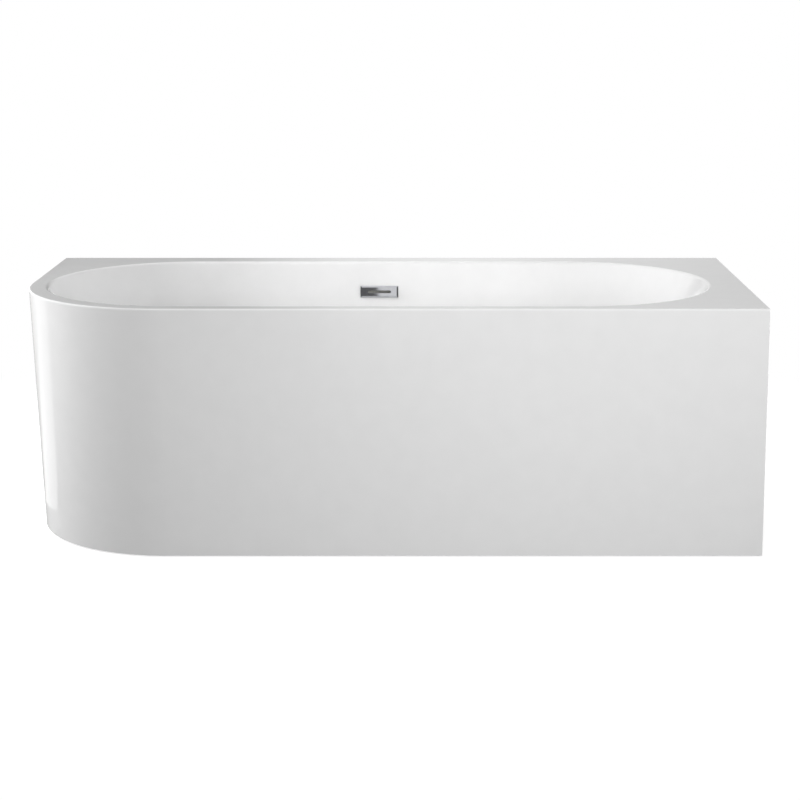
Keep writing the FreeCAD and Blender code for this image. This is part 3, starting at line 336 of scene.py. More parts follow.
# %% Plastics and rubber
# To the eye: the polyamide is a flat black with a low sheen, the polypropylene a waxy white, the soft PVC a mid
# grey with a broad gloss, and the rubber a black with hardly any shine
PLASTICS = {
    # name of the finish: two tones, roughness from and to, grain in mm, depth of the grain in mm
    "black_polyamide": ("#17181A", "#222326", 0.42, 0.55, 1.2, 0.06),
    "white_polypropylene": ("#DEDDD8", "#E7E6E2", 0.30, 0.42, 6.0, 0.05),
    "grey_soft_pvc": ("#A9ACAF", "#B6B9BB", 0.34, 0.48, 9.0, 0.05),
    "black_rubber": ("#191919", "#262626", 0.62, 0.78, 2.0, 0.04),
}
for name, (dark, pale, smooth, dull, grain_size, depth) in PLASTICS.items():
    material, tree, where = new_finish(name)
    moulding = noise(tree, where, grain_size, 3.0)
    tint = ramp(tree, moulding, [(0.35, dark), (0.65, pale)])
    sheen = spread(tree, moulding, smooth, dull)
    grain = bumps(tree, moulding, depth, 0.6)
    keep_finish(name, material, {"Base Color": tint, "Roughness": sheen, "Normal": grain})

# %% [markdown]
# ## Give each CAD node its finish
# The record names a material slot for every node. Most slots are one finish. The timber slot is two woods, so the
# batten is named by itself.

# %% Dress the CAD nodes
SLOT_FINISH = {
    "acrylic": "acrylic",
    "glass_fibre": "glass_fibre",
    "timber": "chipboard",
    "frame_steel": "galvanised",
    "zinc": "zinc",
    "black_plastic": "black_polyamide",
    "chrome": "chrome",
    "brass": "brass",
    "spring_steel": "spring",
    "rubber": "black_rubber",
    "white_plastic": "white_polypropylene",
    "hose_plastic": "grey_soft_pvc",
}
for entry in frame["record"]["subparts"]:
    finish = "spruce" if entry["node"] == "apron_batten" else SLOT_FINISH[entry["material_slot"]]
    mesh = nodes[entry["node"]].data
    mesh.materials.clear()
    mesh.materials.append(finishes[finish])

# %% [markdown]
# ## Helpers for forms that repeat
# Hose ribs, threads, nuts, screws and weld beads repeat or follow a path, so Geometry Nodes make them. A tree is
# built in code with a named input for each size, so one tree serves every size of a piece. It runs on a seed,
# which is a curve, some edges to follow, or bare points where copies stand. The result is read back as a plain
# mesh, which is all that the frame needs.

# %% Geometry Nodes helpers
SHARP_DEGREES = 35


def new_tree(name, sizes):
    """A Geometry Nodes tree with inputs for its seed, finish and sizes, and the sockets of those inputs."""
    tree = bpy.data.node_groups.new(name, "GeometryNodeTree")
    tree.interface.new_socket("Shape", in_out="OUTPUT", socket_type="NodeSocketGeometry")
    tree.interface.new_socket("Seed", in_out="INPUT", socket_type="NodeSocketGeometry")
    tree.interface.new_socket("Finish", in_out="INPUT", socket_type="NodeSocketMaterial")
    for size in sizes:
        tree.interface.new_socket(size, in_out="INPUT", socket_type="NodeSocketFloat")
    return tree, add(tree, "NodeGroupInput").outputs


def finish_tree(tree, size, shape):
    """Ends a tree: real geometry in place of copies, then its finish, then the output."""
    real = add(tree, "GeometryNodeRealizeInstances", None, {"Geometry": shape})
    dressed = add(tree, "GeometryNodeSetMaterial", None, {
        "Geometry": real.outputs["Geometry"], "Material": size["Finish"]})
    add(tree, "NodeGroupOutput", None, {"Shape": dressed.outputs["Geometry"]})


def paced(tree, path, pitch, steps):
    """Divides a path evenly, with some steps to each pitch. Also gives, for each place on the path, the length
    gone so far and the length to the nearer end."""
    run = add(tree, "GeometryNodeResampleCurve", {"mode": "LENGTH"}, {
        "Curve": path, "Length": calculate(tree, "DIVIDE", pitch, steps)})
    gone = add(tree, "GeometryNodeSplineParameter").outputs["Length"]
    whole = add(tree, "GeometryNodeSplineLength").outputs["Length"]
    left = calculate(tree, "SUBTRACT", whole, gone)
    return run.outputs["Curve"], gone, calculate(tree, "MINIMUM", gone, left)


def wave_along(tree, length, pitch):
    """A wave along a length, which swings between 1 and -1 and is 1 at the start."""
    waves = calculate(tree, "DIVIDE", length, pitch)
    return calculate(tree, "COSINE", calculate(tree, "MULTIPLY", waves, math.tau))


def swept(tree, path, girth, sides):
    """Sweeps a circle along a path, with a radius for each place on it, and closes both ends."""
    ring = add(tree, "GeometryNodeCurvePrimitiveCircle", {"mode": "RADIUS"}, {"Resolution": sides, "Radius": 1.0})
    return add(tree, "GeometryNodeCurveToMesh", None, {
        "Curve": path, "Profile Curve": ring.outputs["Curve"], "Scale": girth, "Fill Caps": True}).outputs["Mesh"]


def grow(name, seed, tree, finish, sizes):
    """Runs a tree on a seed and leaves the result as a plain mesh object at the origin."""
    holder = bpy.data.objects.new(name + "_seed", seed)
    scene.collection.objects.link(holder)
    modifier = holder.modifiers.new("grow", "NODES")
    modifier.node_group = tree
    values = {**sizes, "Finish": finishes[finish]}
    for item in tree.interface.items_tree:
        if item.name in values:
            modifier[item.identifier] = values[item.name]
    evaluated = holder.evaluated_get(bpy.context.evaluated_depsgraph_get())
    mesh = bpy.data.meshes.new_from_object(evaluated)
    bpy.data.objects.remove(holder)
    # A cut leaves an empty slot before the tree's own, so the list is made again with one
    mesh.materials.clear()
    mesh.materials.append(finishes[finish])
    mesh.shade_smooth()
    mesh.set_sharp_from_angle(angle=math.radians(SHARP_DEGREES))
    piece = bpy.data.objects.new(name, mesh)
    scene.collection.objects.link(piece)
    print(name, "has", len(mesh.polygons), "faces")
    return piece


def install(piece, body, slot, *stood_for):
    """Says which body carries the piece and which CAD nodes it stands for. The slot is not used."""
    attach(piece, body)
    if stood_for:
        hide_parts(*stood_for)


# %% [markdown]
# ## Overflow hose
# A soft ribbed hose takes the overflow's water down to the waste tee. Its ends are plain cuffs that push over
# barbs, and between them are ribs about 5.5 mm apart, which let it bend without closing. Ribs modelled one by one
# would have to be turned round the bend. A circle swept along the path does that by itself, and the path's own
# length tells each ring how wide to be.

# %% The hose's path
HOSE_X = -27.5
# Place in Y and Z, then the handles before and after it: down beside the basin, round the bend, along to the tee
HOSE_PATH = [
    ((317.27, 468.92), (320.00, 484.00), (299.75, 370.82)),
    ((264.71, 174.61), (282.23, 272.71), (254.49, 117.38)),
    ((146.58, 75.70), (204.72, 75.70), (104.65, 75.70)),
    ((20.80, 75.70), (62.73, 75.70), (0.00, 75.70)),
]

route = bpy.data.curves.new("hose_path", "CURVE")
route.dimensions = "3D"
route.resolution_u = 32
spline = route.splines.new("BEZIER")
spline.bezier_points.add(len(HOSE_PATH) - 1)
for point, places in zip(spline.bezier_points, HOSE_PATH):
    point.co, point.handle_left, point.handle_right = [Vector((HOSE_X, y, z)) * MM for y, z in places]
print(f"hose path of {spline.calc_length() / MM:.0f} mm")

# %% The ribs
HOSE_SIZES = {
    "Cuff radius": 15.8 * MM, "Cuff length": 34 * MM, "Root radius": 14.6 * MM, "Crest radius": 16.4 * MM,
    "Rib pitch": 5.5 * MM}
RINGS_PER_RIB = 8
RING_SIDES = 28
RIB_STEEPNESS = 0.75

tree, size = new_tree("ribbed_hose", HOSE_SIZES)
run, gone, nearest = paced(tree, size["Seed"], size["Rib pitch"], RINGS_PER_RIB)
ribbed = calculate(tree, "GREATER_THAN", nearest, size["Cuff length"])
past_cuff = calculate(tree, "SUBTRACT", gone, size["Cuff length"])
swing = wave_along(tree, past_cuff, size["Rib pitch"])
# The wave is steeper than its clamp allows, so crests and roots are flat
flattened = calculate(tree, "MULTIPLY_ADD", swing, -RIB_STEEPNESS, 0.5, clamped=True)
wave = add(tree, "ShaderNodeMapRange", None, {
    "Value": flattened, "To Min": size["Root radius"], "To Max": size["Crest radius"]})
girth = add(tree, "ShaderNodeMapRange", None, {
    "Value": ribbed, "To Min": size["Cuff radius"], "To Max": wave.outputs["Result"]})
finish_tree(tree, size, swept(tree, run, girth.outputs["Result"], RING_SIDES))

hose = grow("ribbed_overflow_hose", route, tree, "grey_soft_pvc", HOSE_SIZES)
install(hose, "bath", "hose_plastic", "overflow_hose")

# %% [markdown]
# ## Marks, hexagons and stretching
# Nuts, screws, clamps and feet stand at marks: bare points, each with the turn about X that its copy gets. They
# share one more form, a piece of hexagon bar. On a real nut the corners are turned off at 30 degrees, so that they
# don't bite. Two cones cut a hexagon here in the same way. It is one metre tall with a corner radius of one metre,
# and is stretched to each real size.

# %% Marks, stretching and hexagon bar
# The cone that turns off a rim of the unit hexagon, which comes to 30 degrees on the frame's nuts
CONE_TIP, CONE_BASE, CONE_HEIGHT = 0.781, 2.512, 1.1


def marks(name, places):
    """A seed of bare points from X, Y, Z in millimetres and a turn about X in degrees."""
    mesh = bpy.data.meshes.new(name)
    mesh.from_pydata([Vector(place[:3]) * MM for place in places], [], [])
    tilt = mesh.attributes.new("tilt", "FLOAT", "POINT")
    tilt.data.foreach_set("value", [math.radians(place[3]) for place in places])
    return mesh


def at_marks(tree, seed, shape):
    """Puts a copy of a shape at every mark."""
    tilt = add(tree, "GeometryNodeInputNamedAttribute", {"data_type": "FLOAT"}, {"Name": "tilt"})
    about_x = add(tree, "ShaderNodeCombineXYZ", None, {"X": tilt.outputs["Attribute"]})
    turn = add(tree, "FunctionNodeEulerToRotation", None, {"Euler": about_x.outputs["Vector"]})
    return add(tree, "GeometryNodeInstanceOnPoints", None, {
        "Points": seed, "Instance": shape, "Rotation": turn.outputs["Rotation"]}).outputs["Instances"]


def stretched(tree, shape, across, tall, lift=0.0):
    """Scales a shape of unit size to a radius and a height, and lifts it."""
    scale = add(tree, "ShaderNodeCombineXYZ", None, {"X": across, "Y": across, "Z": tall})
    place = add(tree, "ShaderNodeCombineXYZ", None, {"Z": lift})
    return add(tree, "GeometryNodeTransform", None, {
        "Geometry": shape, "Scale": scale.outputs["Vector"], "Translation": place.outputs["Vector"],
    }).outputs["Geometry"]


def lifted(tree, shape, lift, turn=(0, 0, 0)):
    """Turns a shape about the origin and then lifts it."""
    return add(tree, "GeometryNodeTransform", None, {
        "Geometry": shape, "Translation": (0, 0, lift), "Rotation": turn}).outputs["Geometry"]


def hexagon_bar(tree):
    """A hexagon of corner radius 1 and height 1 about the origin, with both rims turned off."""
    stock = add(tree, "GeometryNodeMeshCylinder", None, {"Vertices": 6, "Radius": 1.0, "Depth": 1.0})
    cones = []
    for top, bottom in ((CONE_TIP, CONE_BASE), (CONE_BASE, CONE_TIP)):
        cone = add(tree, "GeometryNodeMeshCone", None, {
            "Vertices": 48, "Radius Top": top, "Radius Bottom": bottom, "Depth": CONE_HEIGHT})
        cones.append(lifted(tree, cone.outputs["Mesh"], -CONE_HEIGHT / 2))
    return add(tree, "GeometryNodeMeshBoolean", {"operation": "INTERSECT", "solver": "EXACT"}, {
        "Mesh 2": [stock.outputs["Mesh"], *cones]}).outputs["Mesh"]


FEET_X = {"left": -440.0, "middle": 110.0, "right": 660.0}
FEET_Y = {"front": -278.3, "rear": 300.0}
print("marks ready for", len(FEET_X) * len(FEET_Y), "feet")

# %% [markdown]
# ## Nuts
# Each foot screws through a nut that is welded on its bar, and a second nut below locks it. The waste has two
# large plastic nuts. All are the same form in different sizes: hexagon bar with a hole, and a small lead-in at
# both ends of the hole, where a thread starts.

# %% One tree for every nut
NUT_SIZES = ("Corner radius", "Height", "Bore radius")
# The lead-in's outer and inner radius in bores, its depth in nut heights, and a drill longer than the nut
SINK_WIDE, SINK_SLIM, SINK_DEPTH, DRILL_LENGTH = 1.25, 0.9, 0.2, 1.4
SINK_PLACE = 0.5 - SINK_DEPTH / 2

nut_tree, size = new_tree("hexagon_nut", NUT_SIZES)
share = calculate(nut_tree, "DIVIDE", size["Bore radius"], size["Corner radius"])
wide = calculate(nut_tree, "MULTIPLY", share, SINK_WIDE)
slim = calculate(nut_tree, "MULTIPLY", share, SINK_SLIM)
drill = add(nut_tree, "GeometryNodeMeshCylinder", None, {
    "Vertices": 32, "Radius": share, "Depth": DRILL_LENGTH})
sink = add(nut_tree, "GeometryNodeMeshCone", None, {
    "Vertices": 32, "Radius Top": wide, "Radius Bottom": slim, "Depth": SINK_DEPTH})
upper_sink = lifted(nut_tree, sink.outputs["Mesh"], SINK_PLACE)
lower_sink = lifted(nut_tree, sink.outputs["Mesh"], -SINK_PLACE, (math.pi, 0, 0))
bored = add(nut_tree, "GeometryNodeMeshBoolean", {"operation": "DIFFERENCE", "solver": "EXACT"}, {
    "Mesh 1": hexagon_bar(nut_tree),
    "Mesh 2": [drill.outputs["Mesh"], upper_sink, lower_sink]})
nut = stretched(nut_tree, bored.outputs["Mesh"], size["Corner radius"], size["Height"])
finish_tree(nut_tree, size, at_marks(nut_tree, size["Seed"], nut))

# %% Frame nuts and waste nuts
FRAME_NUT = {"Corner radius": 11 * MM, "Height": 10 * MM, "Bore radius": 6.3 * MM}
FRAME_NUTS = {"weld_nuts": 104, "lock_nuts": 69}  # node: height of its middle in mm
for node, middle in FRAME_NUTS.items():
    places = [(x, y, middle, 0) for x in FEET_X.values() for y in FEET_Y.values()]
    piece = grow("chamfered_" + node, marks(node, places), nut_tree, "zinc", FRAME_NUT)
    install(piece, "bath", "zinc", node)

WASTE_NUTS = {
    # node: corner radius and bore radius in mm
    "waste_lock_nut": (38, 23.8),
    "tee_union_nut": (36, 26.8),
}
for node, (corner, bore) in WASTE_NUTS.items():
    low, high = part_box(node)
    middle = (Vector(low) + Vector(high)) / 2 / MM
    sizes = {"Corner radius": corner * MM, "Height": high[2] - low[2], "Bore radius": bore * MM}
    piece = grow("chamfered_" + node, marks(node, [(*middle, 0)]), nut_tree, "white_polypropylene", sizes)
    install(piece, "bath", "white_plastic", node)

# %% [markdown]
# ## Threaded feet
# A foot is an M12 stud with a hexagon collar for the spanner. Its lower end turns in a plastic pad, which stays
# still. A thread is a ridge that climbs as it goes round, so a small diamond is swept along a spiral, half sunk in
# a plain core. The spiral's pitch is the real one, because the foot's travel for each turn depends on it.

# %% One tree for every foot
STUD_SIZES = {
    "Crest radius": 6 * MM, "Root radius": 5.15 * MM, "Pitch": 1.75 * MM, "Thread length": 102.7 * MM,
    "Tip length": 1.0 * MM, "Collar radius": 9.8 * MM, "Collar height": 7 * MM, "Shank length": 14.3 * MM}
FLANK_SHARE = 0.46  # of the pitch, a little under half, so that neighbouring turns stay apart

tree, size = new_tree("threaded_stud", STUD_SIZES)
turns = calculate(tree, "DIVIDE", size["Thread length"], size["Pitch"])
spiral = add(tree, "GeometryNodeCurveSpiral", None, {
    "Resolution": 16, "Rotations": turns, "Start Radius": size["Root radius"],
    "End Radius": size["Root radius"], "Height": size["Thread length"]})
upright = add(tree, "GeometryNodeSetCurveNormal", {"mode": "Z_UP"}, {"Curve": spiral.outputs["Curve"]})
depth = calculate(tree, "SUBTRACT", size["Crest radius"], size["Root radius"])
flank = calculate(tree, "MULTIPLY", size["Pitch"], FLANK_SHARE)
ridge_size = add(tree, "ShaderNodeCombineXYZ", None, {"X": depth, "Y": flank, "Z": 1.0})
diamond = add(tree, "GeometryNodeCurvePrimitiveCircle", {"mode": "RADIUS"}, {"Resolution": 4, "Radius": 1.0})
ridge = add(tree, "GeometryNodeTransform", None, {
    "Geometry": diamond.outputs["Curve"], "Scale": ridge_size.outputs["Vector"]})
thread = add(tree, "GeometryNodeCurveToMesh", None, {
    "Curve": upright.outputs["Curve"], "Profile Curve": ridge.outputs["Geometry"], "Fill Caps": True})

unit_rod = add(tree, "GeometryNodeMeshCylinder", None, {"Vertices": 24, "Radius": 1.0, "Depth": 1.0})
unit_tip = add(tree, "GeometryNodeMeshCone", None, {
    "Vertices": 24, "Radius Top": 0.8, "Radius Bottom": 1.0, "Depth": 1.0})
half_thread = calculate(tree, "DIVIDE", size["Thread length"], 2)
half_collar = calculate(tree, "DIVIDE", size["Collar height"], -2)
shank_drop = calculate(tree, "MULTIPLY_ADD", size["Shank length"], -0.5, half_collar)
shank_lift = calculate(tree, "ADD", shank_drop, half_collar)
core = stretched(tree, unit_rod.outputs["Mesh"], size["Root radius"], size["Thread length"], half_thread)
tip = stretched(tree, unit_tip.outputs["Mesh"], size["Root radius"], size["Tip length"], size["Thread length"])
collar = stretched(tree, hexagon_bar(tree), size["Collar radius"], size["Collar height"], half_collar)
shank = stretched(tree, unit_rod.outputs["Mesh"], size["Crest radius"], size["Shank length"], shank_lift)
stud = add(tree, "GeometryNodeJoinGeometry", None, {
    "Geometry": [thread.outputs["Mesh"], core, tip, collar, shank]})
finish_tree(tree, size, at_marks(tree, size["Seed"], stud.outputs["Geometry"]))

# %% Six feet
COLLAR_TOP = 27.3
for bar, x in FEET_X.items():
    for end, y in FEET_Y.items():
        word = f"{bar}_{end}"
        piece = grow(f"stud_{word}", marks(word, [(x, y, COLLAR_TOP, 0)]), tree, "zinc", STUD_SIZES)
        install(piece, f"stem_{word}", "zinc", f"foot_stem_{word}")

# %% [markdown]
# ## Cross-head screws
# Three sets of screws hold the board, the brackets and the overflow. A screw's head is a low dome with a cross
# pressed into it for the driver. The dome is the upper half of a flattened ball, and two bars cut the cross. Head
# and shank are built one unit wide and tall, and then stretched to each set's sizes.

# %% One tree for every screw
SCREW_SIZES = ("Head radius", "Head height", "Shank radius", "Shank length")
# Of a head one unit wide and tall: where the ball is cut, the block that keeps its top, and the bars of the cross
BALL_CUT, BLOCK_SIDE, BLOCK_HEIGHT = 0.01, 3.0, 1.5
CROSS_LENGTH, CROSS_WIDTH, CROSS_FLOOR, CROSS_HEIGHT = 1.15, 0.24, 0.45, 1.2
# Of a shank one unit long: how far it goes into the head, and its point's length and end radius
SHANK_SINK, POINT_LENGTH, POINT_END = 0.02, 0.16, 0.15
ROD_LENGTH = 1 - POINT_LENGTH + SHANK_SINK

screw_tree, size = new_tree("cross_head_screw", SCREW_SIZES)
ball = add(screw_tree, "GeometryNodeMeshUVSphere", None, {"Segments": 24, "Rings": 12, "Radius": 1.0})
block = add(screw_tree, "GeometryNodeMeshCube", None, {"Size": (BLOCK_SIDE, BLOCK_SIDE, BLOCK_HEIGHT)})
upper_half = lifted(screw_tree, block.outputs["Mesh"], BALL_CUT + BLOCK_HEIGHT / 2)
dome = add(screw_tree, "GeometryNodeMeshBoolean", {"operation": "INTERSECT", "solver": "EXACT"}, {
    "Mesh 2": [ball.outputs["Mesh"], upper_half]})
slot_bar = add(screw_tree, "GeometryNodeMeshCube", None, {"Size": (CROSS_LENGTH, CROSS_WIDTH, CROSS_HEIGHT)})
slot_bars = [lifted(screw_tree, slot_bar.outputs["Mesh"], CROSS_FLOOR + CROSS_HEIGHT / 2, (0, 0, turn))
             for turn in (0, math.pi / 2)]
crossed = add(screw_tree, "GeometryNodeMeshBoolean", {"operation": "DIFFERENCE", "solver": "EXACT"}, {
    "Mesh 1": dome.outputs["Mesh"], "Mesh 2": slot_bars})
rod = add(screw_tree, "GeometryNodeMeshCylinder", None, {"Vertices": 16, "Radius": 1.0, "Depth": ROD_LENGTH})
raised_rod = lifted(screw_tree, rod.outputs["Mesh"], SHANK_SINK - ROD_LENGTH / 2)
point = add(screw_tree, "GeometryNodeMeshCone", None, {
    "Vertices": 16, "Radius Top": 1.0, "Radius Bottom": POINT_END, "Depth": POINT_LENGTH})
low_point = lifted(screw_tree, point.outputs["Mesh"], -1)
pointed = add(screw_tree, "GeometryNodeJoinGeometry", None, {"Geometry": [raised_rod, low_point]})
head = stretched(screw_tree, crossed.outputs["Mesh"], size["Head radius"], size["Head height"])
shank = stretched(screw_tree, pointed.outputs["Geometry"], size["Shank radius"], size["Shank length"])
screw = add(screw_tree, "GeometryNodeJoinGeometry", None, {"Geometry": [head, shank]})
finish_tree(screw_tree, size, at_marks(screw_tree, size["Seed"], screw.outputs["Geometry"]))

# %% Three sets of screws
WALL_LEAN = 10.125
SCREW_SETS = {
    # node: sizes in mm in the tree's order, then the marks with the turn that brings the head round
    "board_screws": ((4.5, 2.5, 2.5, 37), [
        (x, y, 99, 180) for x in (-380, -165, 50, 170, 369) for y in (-134, 106)]),
    "bracket_screws": ((4.5, 2.5, 2.5, 15), [(x, -341.3, 118, -90) for x in FEET_X.values()]),
    "overflow_screws": ((3.2, 2.4, 1.6, 14.9), [
        (HOSE_X + side, 307.09, 491.56, -90 - WALL_LEAN) for side in (-38, 38)]),
}
for node, (lengths, places) in SCREW_SETS.items():
    sizes = {name: length * MM for name, length in zip(SCREW_SIZES, lengths)}
    piece = grow("cross_head_" + node, marks(node, places), screw_tree, "zinc", sizes)
    install(piece, "bath", "zinc", node)

# %% [markdown]
# ## Plug spring
# The push plug stands on a small coil spring, which shortens as the plug is pushed down. A spring is wire wound on
# a spiral, so a circle is swept along one. It is wound at its length at rest, with its foot on the guide.

# %% Wind the spring
WIRE_RADIUS = 0.6 * MM

low, high = (Vector(corner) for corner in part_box("plug_spring"))
SPRING_SIZES = {
    "Coil radius": 7.5 * MM, "Wire radius": WIRE_RADIUS, "Turns": 5.0, "Height": high.z - low.z - 2 * WIRE_RADIUS}
tree, size = new_tree("coil_spring", SPRING_SIZES)
coil = add(tree, "GeometryNodeCurveSpiral", None, {
    "Resolution": 32, "Rotations": size["Turns"], "Start Radius": size["Coil radius"],
    "End Radius": size["Coil radius"], "Height": size["Height"]})
ring = add(tree, "GeometryNodeCurvePrimitiveCircle", {"mode": "RADIUS"}, {
    "Resolution": 12, "Radius": size["Wire radius"]})
wire = add(tree, "GeometryNodeCurveToMesh", None, {
    "Curve": coil.outputs["Curve"], "Profile Curve": ring.outputs["Curve"], "Fill Caps": True})
finish_tree(tree, size, at_marks(tree, size["Seed"], wire.outputs["Mesh"]))

middle = (low + high) / 2
stand = (middle.x / MM, middle.y / MM, (low.z + WIRE_RADIUS) / MM, 0)
piece = grow("coiled_plug_spring", marks("plug_spring", [stand]), tree, "spring", SPRING_SIZES)
install(piece, "bath", "spring_steel", "plug_spring")
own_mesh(piece)
print(f"spring of {(high.z - low.z) / MM:.1f} mm at rest")

# %% [markdown]
# ## Weld beads
# The frame's tubes are welded where they cross. A bead is laid in small overlapping pools, so its surface is a row
# of ripples and its ends are round. Each bead is an edge of the seed, with a circle swept along it whose radius
# ripples and closes at both ends. Half of it is sunk in the corner that it fills.

# %% Where the tubes meet
TUBE = 25.0
RAILS_Y = (-134.0, 106.0)
REAR_POST_FRONT, REAR_POST_BACK = 333.0, 358.0
RIGHT_POST_LEFT, RIGHT_POST_RIGHT = 808.0, 833.0
BAR_TOP, RAIL_TOP, TOP_RAIL_UNDER, TOP_RAIL_TOP = 99.0, 124.0, 537.0, 562.0

beads = []
for x in FEET_X.values():
    sides = (x - TUBE / 2, x + TUBE / 2)
    for y in RAILS_Y:
        beads += [[(side, y + edge, BAR_TOP) for side in sides] for edge in (-TUBE / 2, TUBE / 2)]
    beads.append([(side, REAR_POST_FRONT, BAR_TOP) for side in sides])
    beads += [[(side, y, TOP_RAIL_UNDER) for y in (REAR_POST_FRONT, REAR_POST_BACK)] for side in sides]
for y in RAILS_Y:
    beads.append([(RIGHT_POST_LEFT, y + edge, RAIL_TOP) for edge in (-TUBE / 2, TUBE / 2)])
    beads += [[(x, y + edge, TOP_RAIL_UNDER) for x in (RIGHT_POST_LEFT, RIGHT_POST_RIGHT)]
              for edge in (-TUBE / 2, TUBE / 2)]
beads.append([(RIGHT_POST_LEFT, REAR_POST_FRONT, z) for z in (TOP_RAIL_UNDER, TOP_RAIL_TOP)])
seams = bpy.data.meshes.new("weld_seams")
seams.from_pydata(
    [Vector(place) * MM for bead in beads for place in bead], [(2 * i, 2 * i + 1) for i in range(len(beads))], [])
print(len(beads), "beads")

# %% Lay the beads
WELD_SIZES = {"Bead radius": 1.9 * MM, "Ripple": 0.22 * MM, "Ripple pitch": 2.2 * MM}
CLOSED_END = 0.12
STEPS_PER_RIPPLE = 5
BEAD_SIDES = 12

tree, size = new_tree("weld_bead", WELD_SIZES)
path = add(tree, "GeometryNodeMeshToCurve", None, {"Mesh": size["Seed"]})
run, gone, nearest = paced(tree, path.outputs["Curve"], size["Ripple pitch"], STEPS_PER_RIPPLE)
swing = wave_along(tree, gone, size["Ripple pitch"])
rippled = calculate(tree, "MULTIPLY_ADD", swing, size["Ripple"], size["Bead radius"])
from_end = calculate(tree, "DIVIDE", nearest, size["Bead radius"], clamped=True)
open_end = calculate(tree, "MAXIMUM", from_end, CLOSED_END)
rounded = calculate(tree, "SQRT", open_end)
girth = calculate(tree, "MULTIPLY", rippled, rounded)
finish_tree(tree, size, swept(tree, run, girth, BEAD_SIDES))
welds = grow("frame_welds", seams, tree, "galvanised", WELD_SIZES)
install(welds, "bath", "frame_steel")

# %% [markdown]
# ## Floor and background
# The bath stands on a plain pale floor in front of white. Camera rays see white, and so do mirror rays, so that
# chrome shows the same white room. Near the bath the floor adds a share of its own lit surface, which keeps the
# soft shadow under the bath. Further out it fades to the white of the room, so that no horizon shows. All other
# rays meet an ordinary grey floor and a dim, even sky, so that the lamps alone shape the bath.

# %% Floor
FLOOR_SIDE = 24.0
FLOOR_GLOW = 0.82
FADE_OVAL = (1.5, 1.0, 1.0)
FADE_FROM, FADE_TO = 1.0, 1.75
WHITE = linear("#FFFFFF")


def seen_directly(tree):
    """1 for rays from the camera, a mirror or glass, and 0 for the diffuse rays that light the object."""
    path = add(tree, "ShaderNodeLightPath")
    shiny = calculate(tree, "MAXIMUM", path.outputs["Is Glossy Ray"], path.outputs["Is Transmission Ray"])
    return calculate(tree, "MAXIMUM", path.outputs["Is Camera Ray"], shiny)


def stage_plane(name, corners, material):
    """A flat piece of the studio, which isn't part of the bath."""
    mesh = bpy.data.meshes.new(name)
    mesh.from_pydata(corners, [], [range(len(corners))])
    mesh.materials.append(material)
    plane = bpy.data.objects.new(name, mesh)
    scene.collection.objects.link(plane)
    plane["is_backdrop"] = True
    return plane


def stage_material(name):
    """An empty material for a piece of the studio, and its tree. What glows in it isn't used as a lamp."""
    material = bpy.data.materials.new(name)
    material.use_nodes = True
    material.cycles.emission_sampling = "NONE"
    material.node_tree.nodes.clear()
    return material, material.node_tree


paper, tree = stage_material("white_studio_paper")
where = add(tree, "ShaderNodeTexCoord").outputs["Object"]
oval = add(tree, "ShaderNodeVectorMath", {"operation": "DIVIDE"}, {0: where, 1: FADE_OVAL})
reach = add(tree, "ShaderNodeVectorMath", {"operation": "LENGTH"}, {0: oval.outputs["Vector"]})
fade = add(tree, "ShaderNodeMapRange", {"interpolation_type": "SMOOTHSTEP"}, {
    "Value": reach.outputs["Value"], "From Min": FADE_FROM, "From Max": FADE_TO})
plain = add(tree, "ShaderNodeBsdfDiffuse", None, {"Color": linear("#616161")})
shaded = add(tree, "ShaderNodeBsdfDiffuse", None, {"Color": linear("#B4B4B4")})
glow = add(tree, "ShaderNodeEmission", None, {"Color": WHITE, "Strength": FLOOR_GLOW})
white = add(tree, "ShaderNodeEmission", None, {"Color": WHITE, "Strength": 1.0})
near = add(tree, "ShaderNodeAddShader", None, {0: shaded.outputs[0], 1: glow.outputs[0]})
seen = add(tree, "ShaderNodeMixShader", None, {
    "Fac": fade.outputs["Result"], 1: near.outputs[0], 2: white.outputs[0]})
floor_look = add(tree, "ShaderNodeMixShader", None, {
    "Fac": seen_directly(tree), 1: plain.outputs[0], 2: seen.outputs[0]})
add(tree, "ShaderNodeOutputMaterial", None, {"Surface": floor_look.outputs[0]})
half = FLOOR_SIDE / 2
stage_plane("floor", [(-half, -half, 0), (half, -half, 0), (half, half, 0), (-half, half, 0)], paper)
print("floor of", FLOOR_SIDE, "m")

# %% Sky
SKY_STRENGTH = 0.03

sky = bpy.data.worlds.new("white_room")
scene.world = sky
sky.use_nodes = True
tree = sky.node_tree
tree.nodes.clear()
dim = add(tree, "ShaderNodeBackground", None, {"Color": WHITE, "Strength": SKY_STRENGTH})
white = add(tree, "ShaderNodeBackground", None, {"Color": WHITE, "Strength": 1.0})
room = add(tree, "ShaderNodeMixShader", None, {
    "Fac": seen_directly(tree), 1: dim.outputs[0], 2: white.outputs[0]})
add(tree, "ShaderNodeOutputWorld", None, {"Surface": room.outputs[0]})
scene.view_settings.view_transform = "Standard"
print("sky made")

# %% [markdown]
# ## Cards
# A glossy white bath in a white room would have no drawing at all. A photographer stands grey cards just out of
# the picture, and the gloss shows them. One card behind the bath gives the flat deck its grey, which falls off to
# the left. A dark one lies on the floor before the apron, and a mid grey one beside the round end. Between them
# runs a pale strip, whose picture on the round end is the bright line with a sharp edge that the photograph shows.
# Two cards beside the camera give the chrome overflow its dark half and its dark edge. Only mirror rays see the
# cards, so they cast no shade.

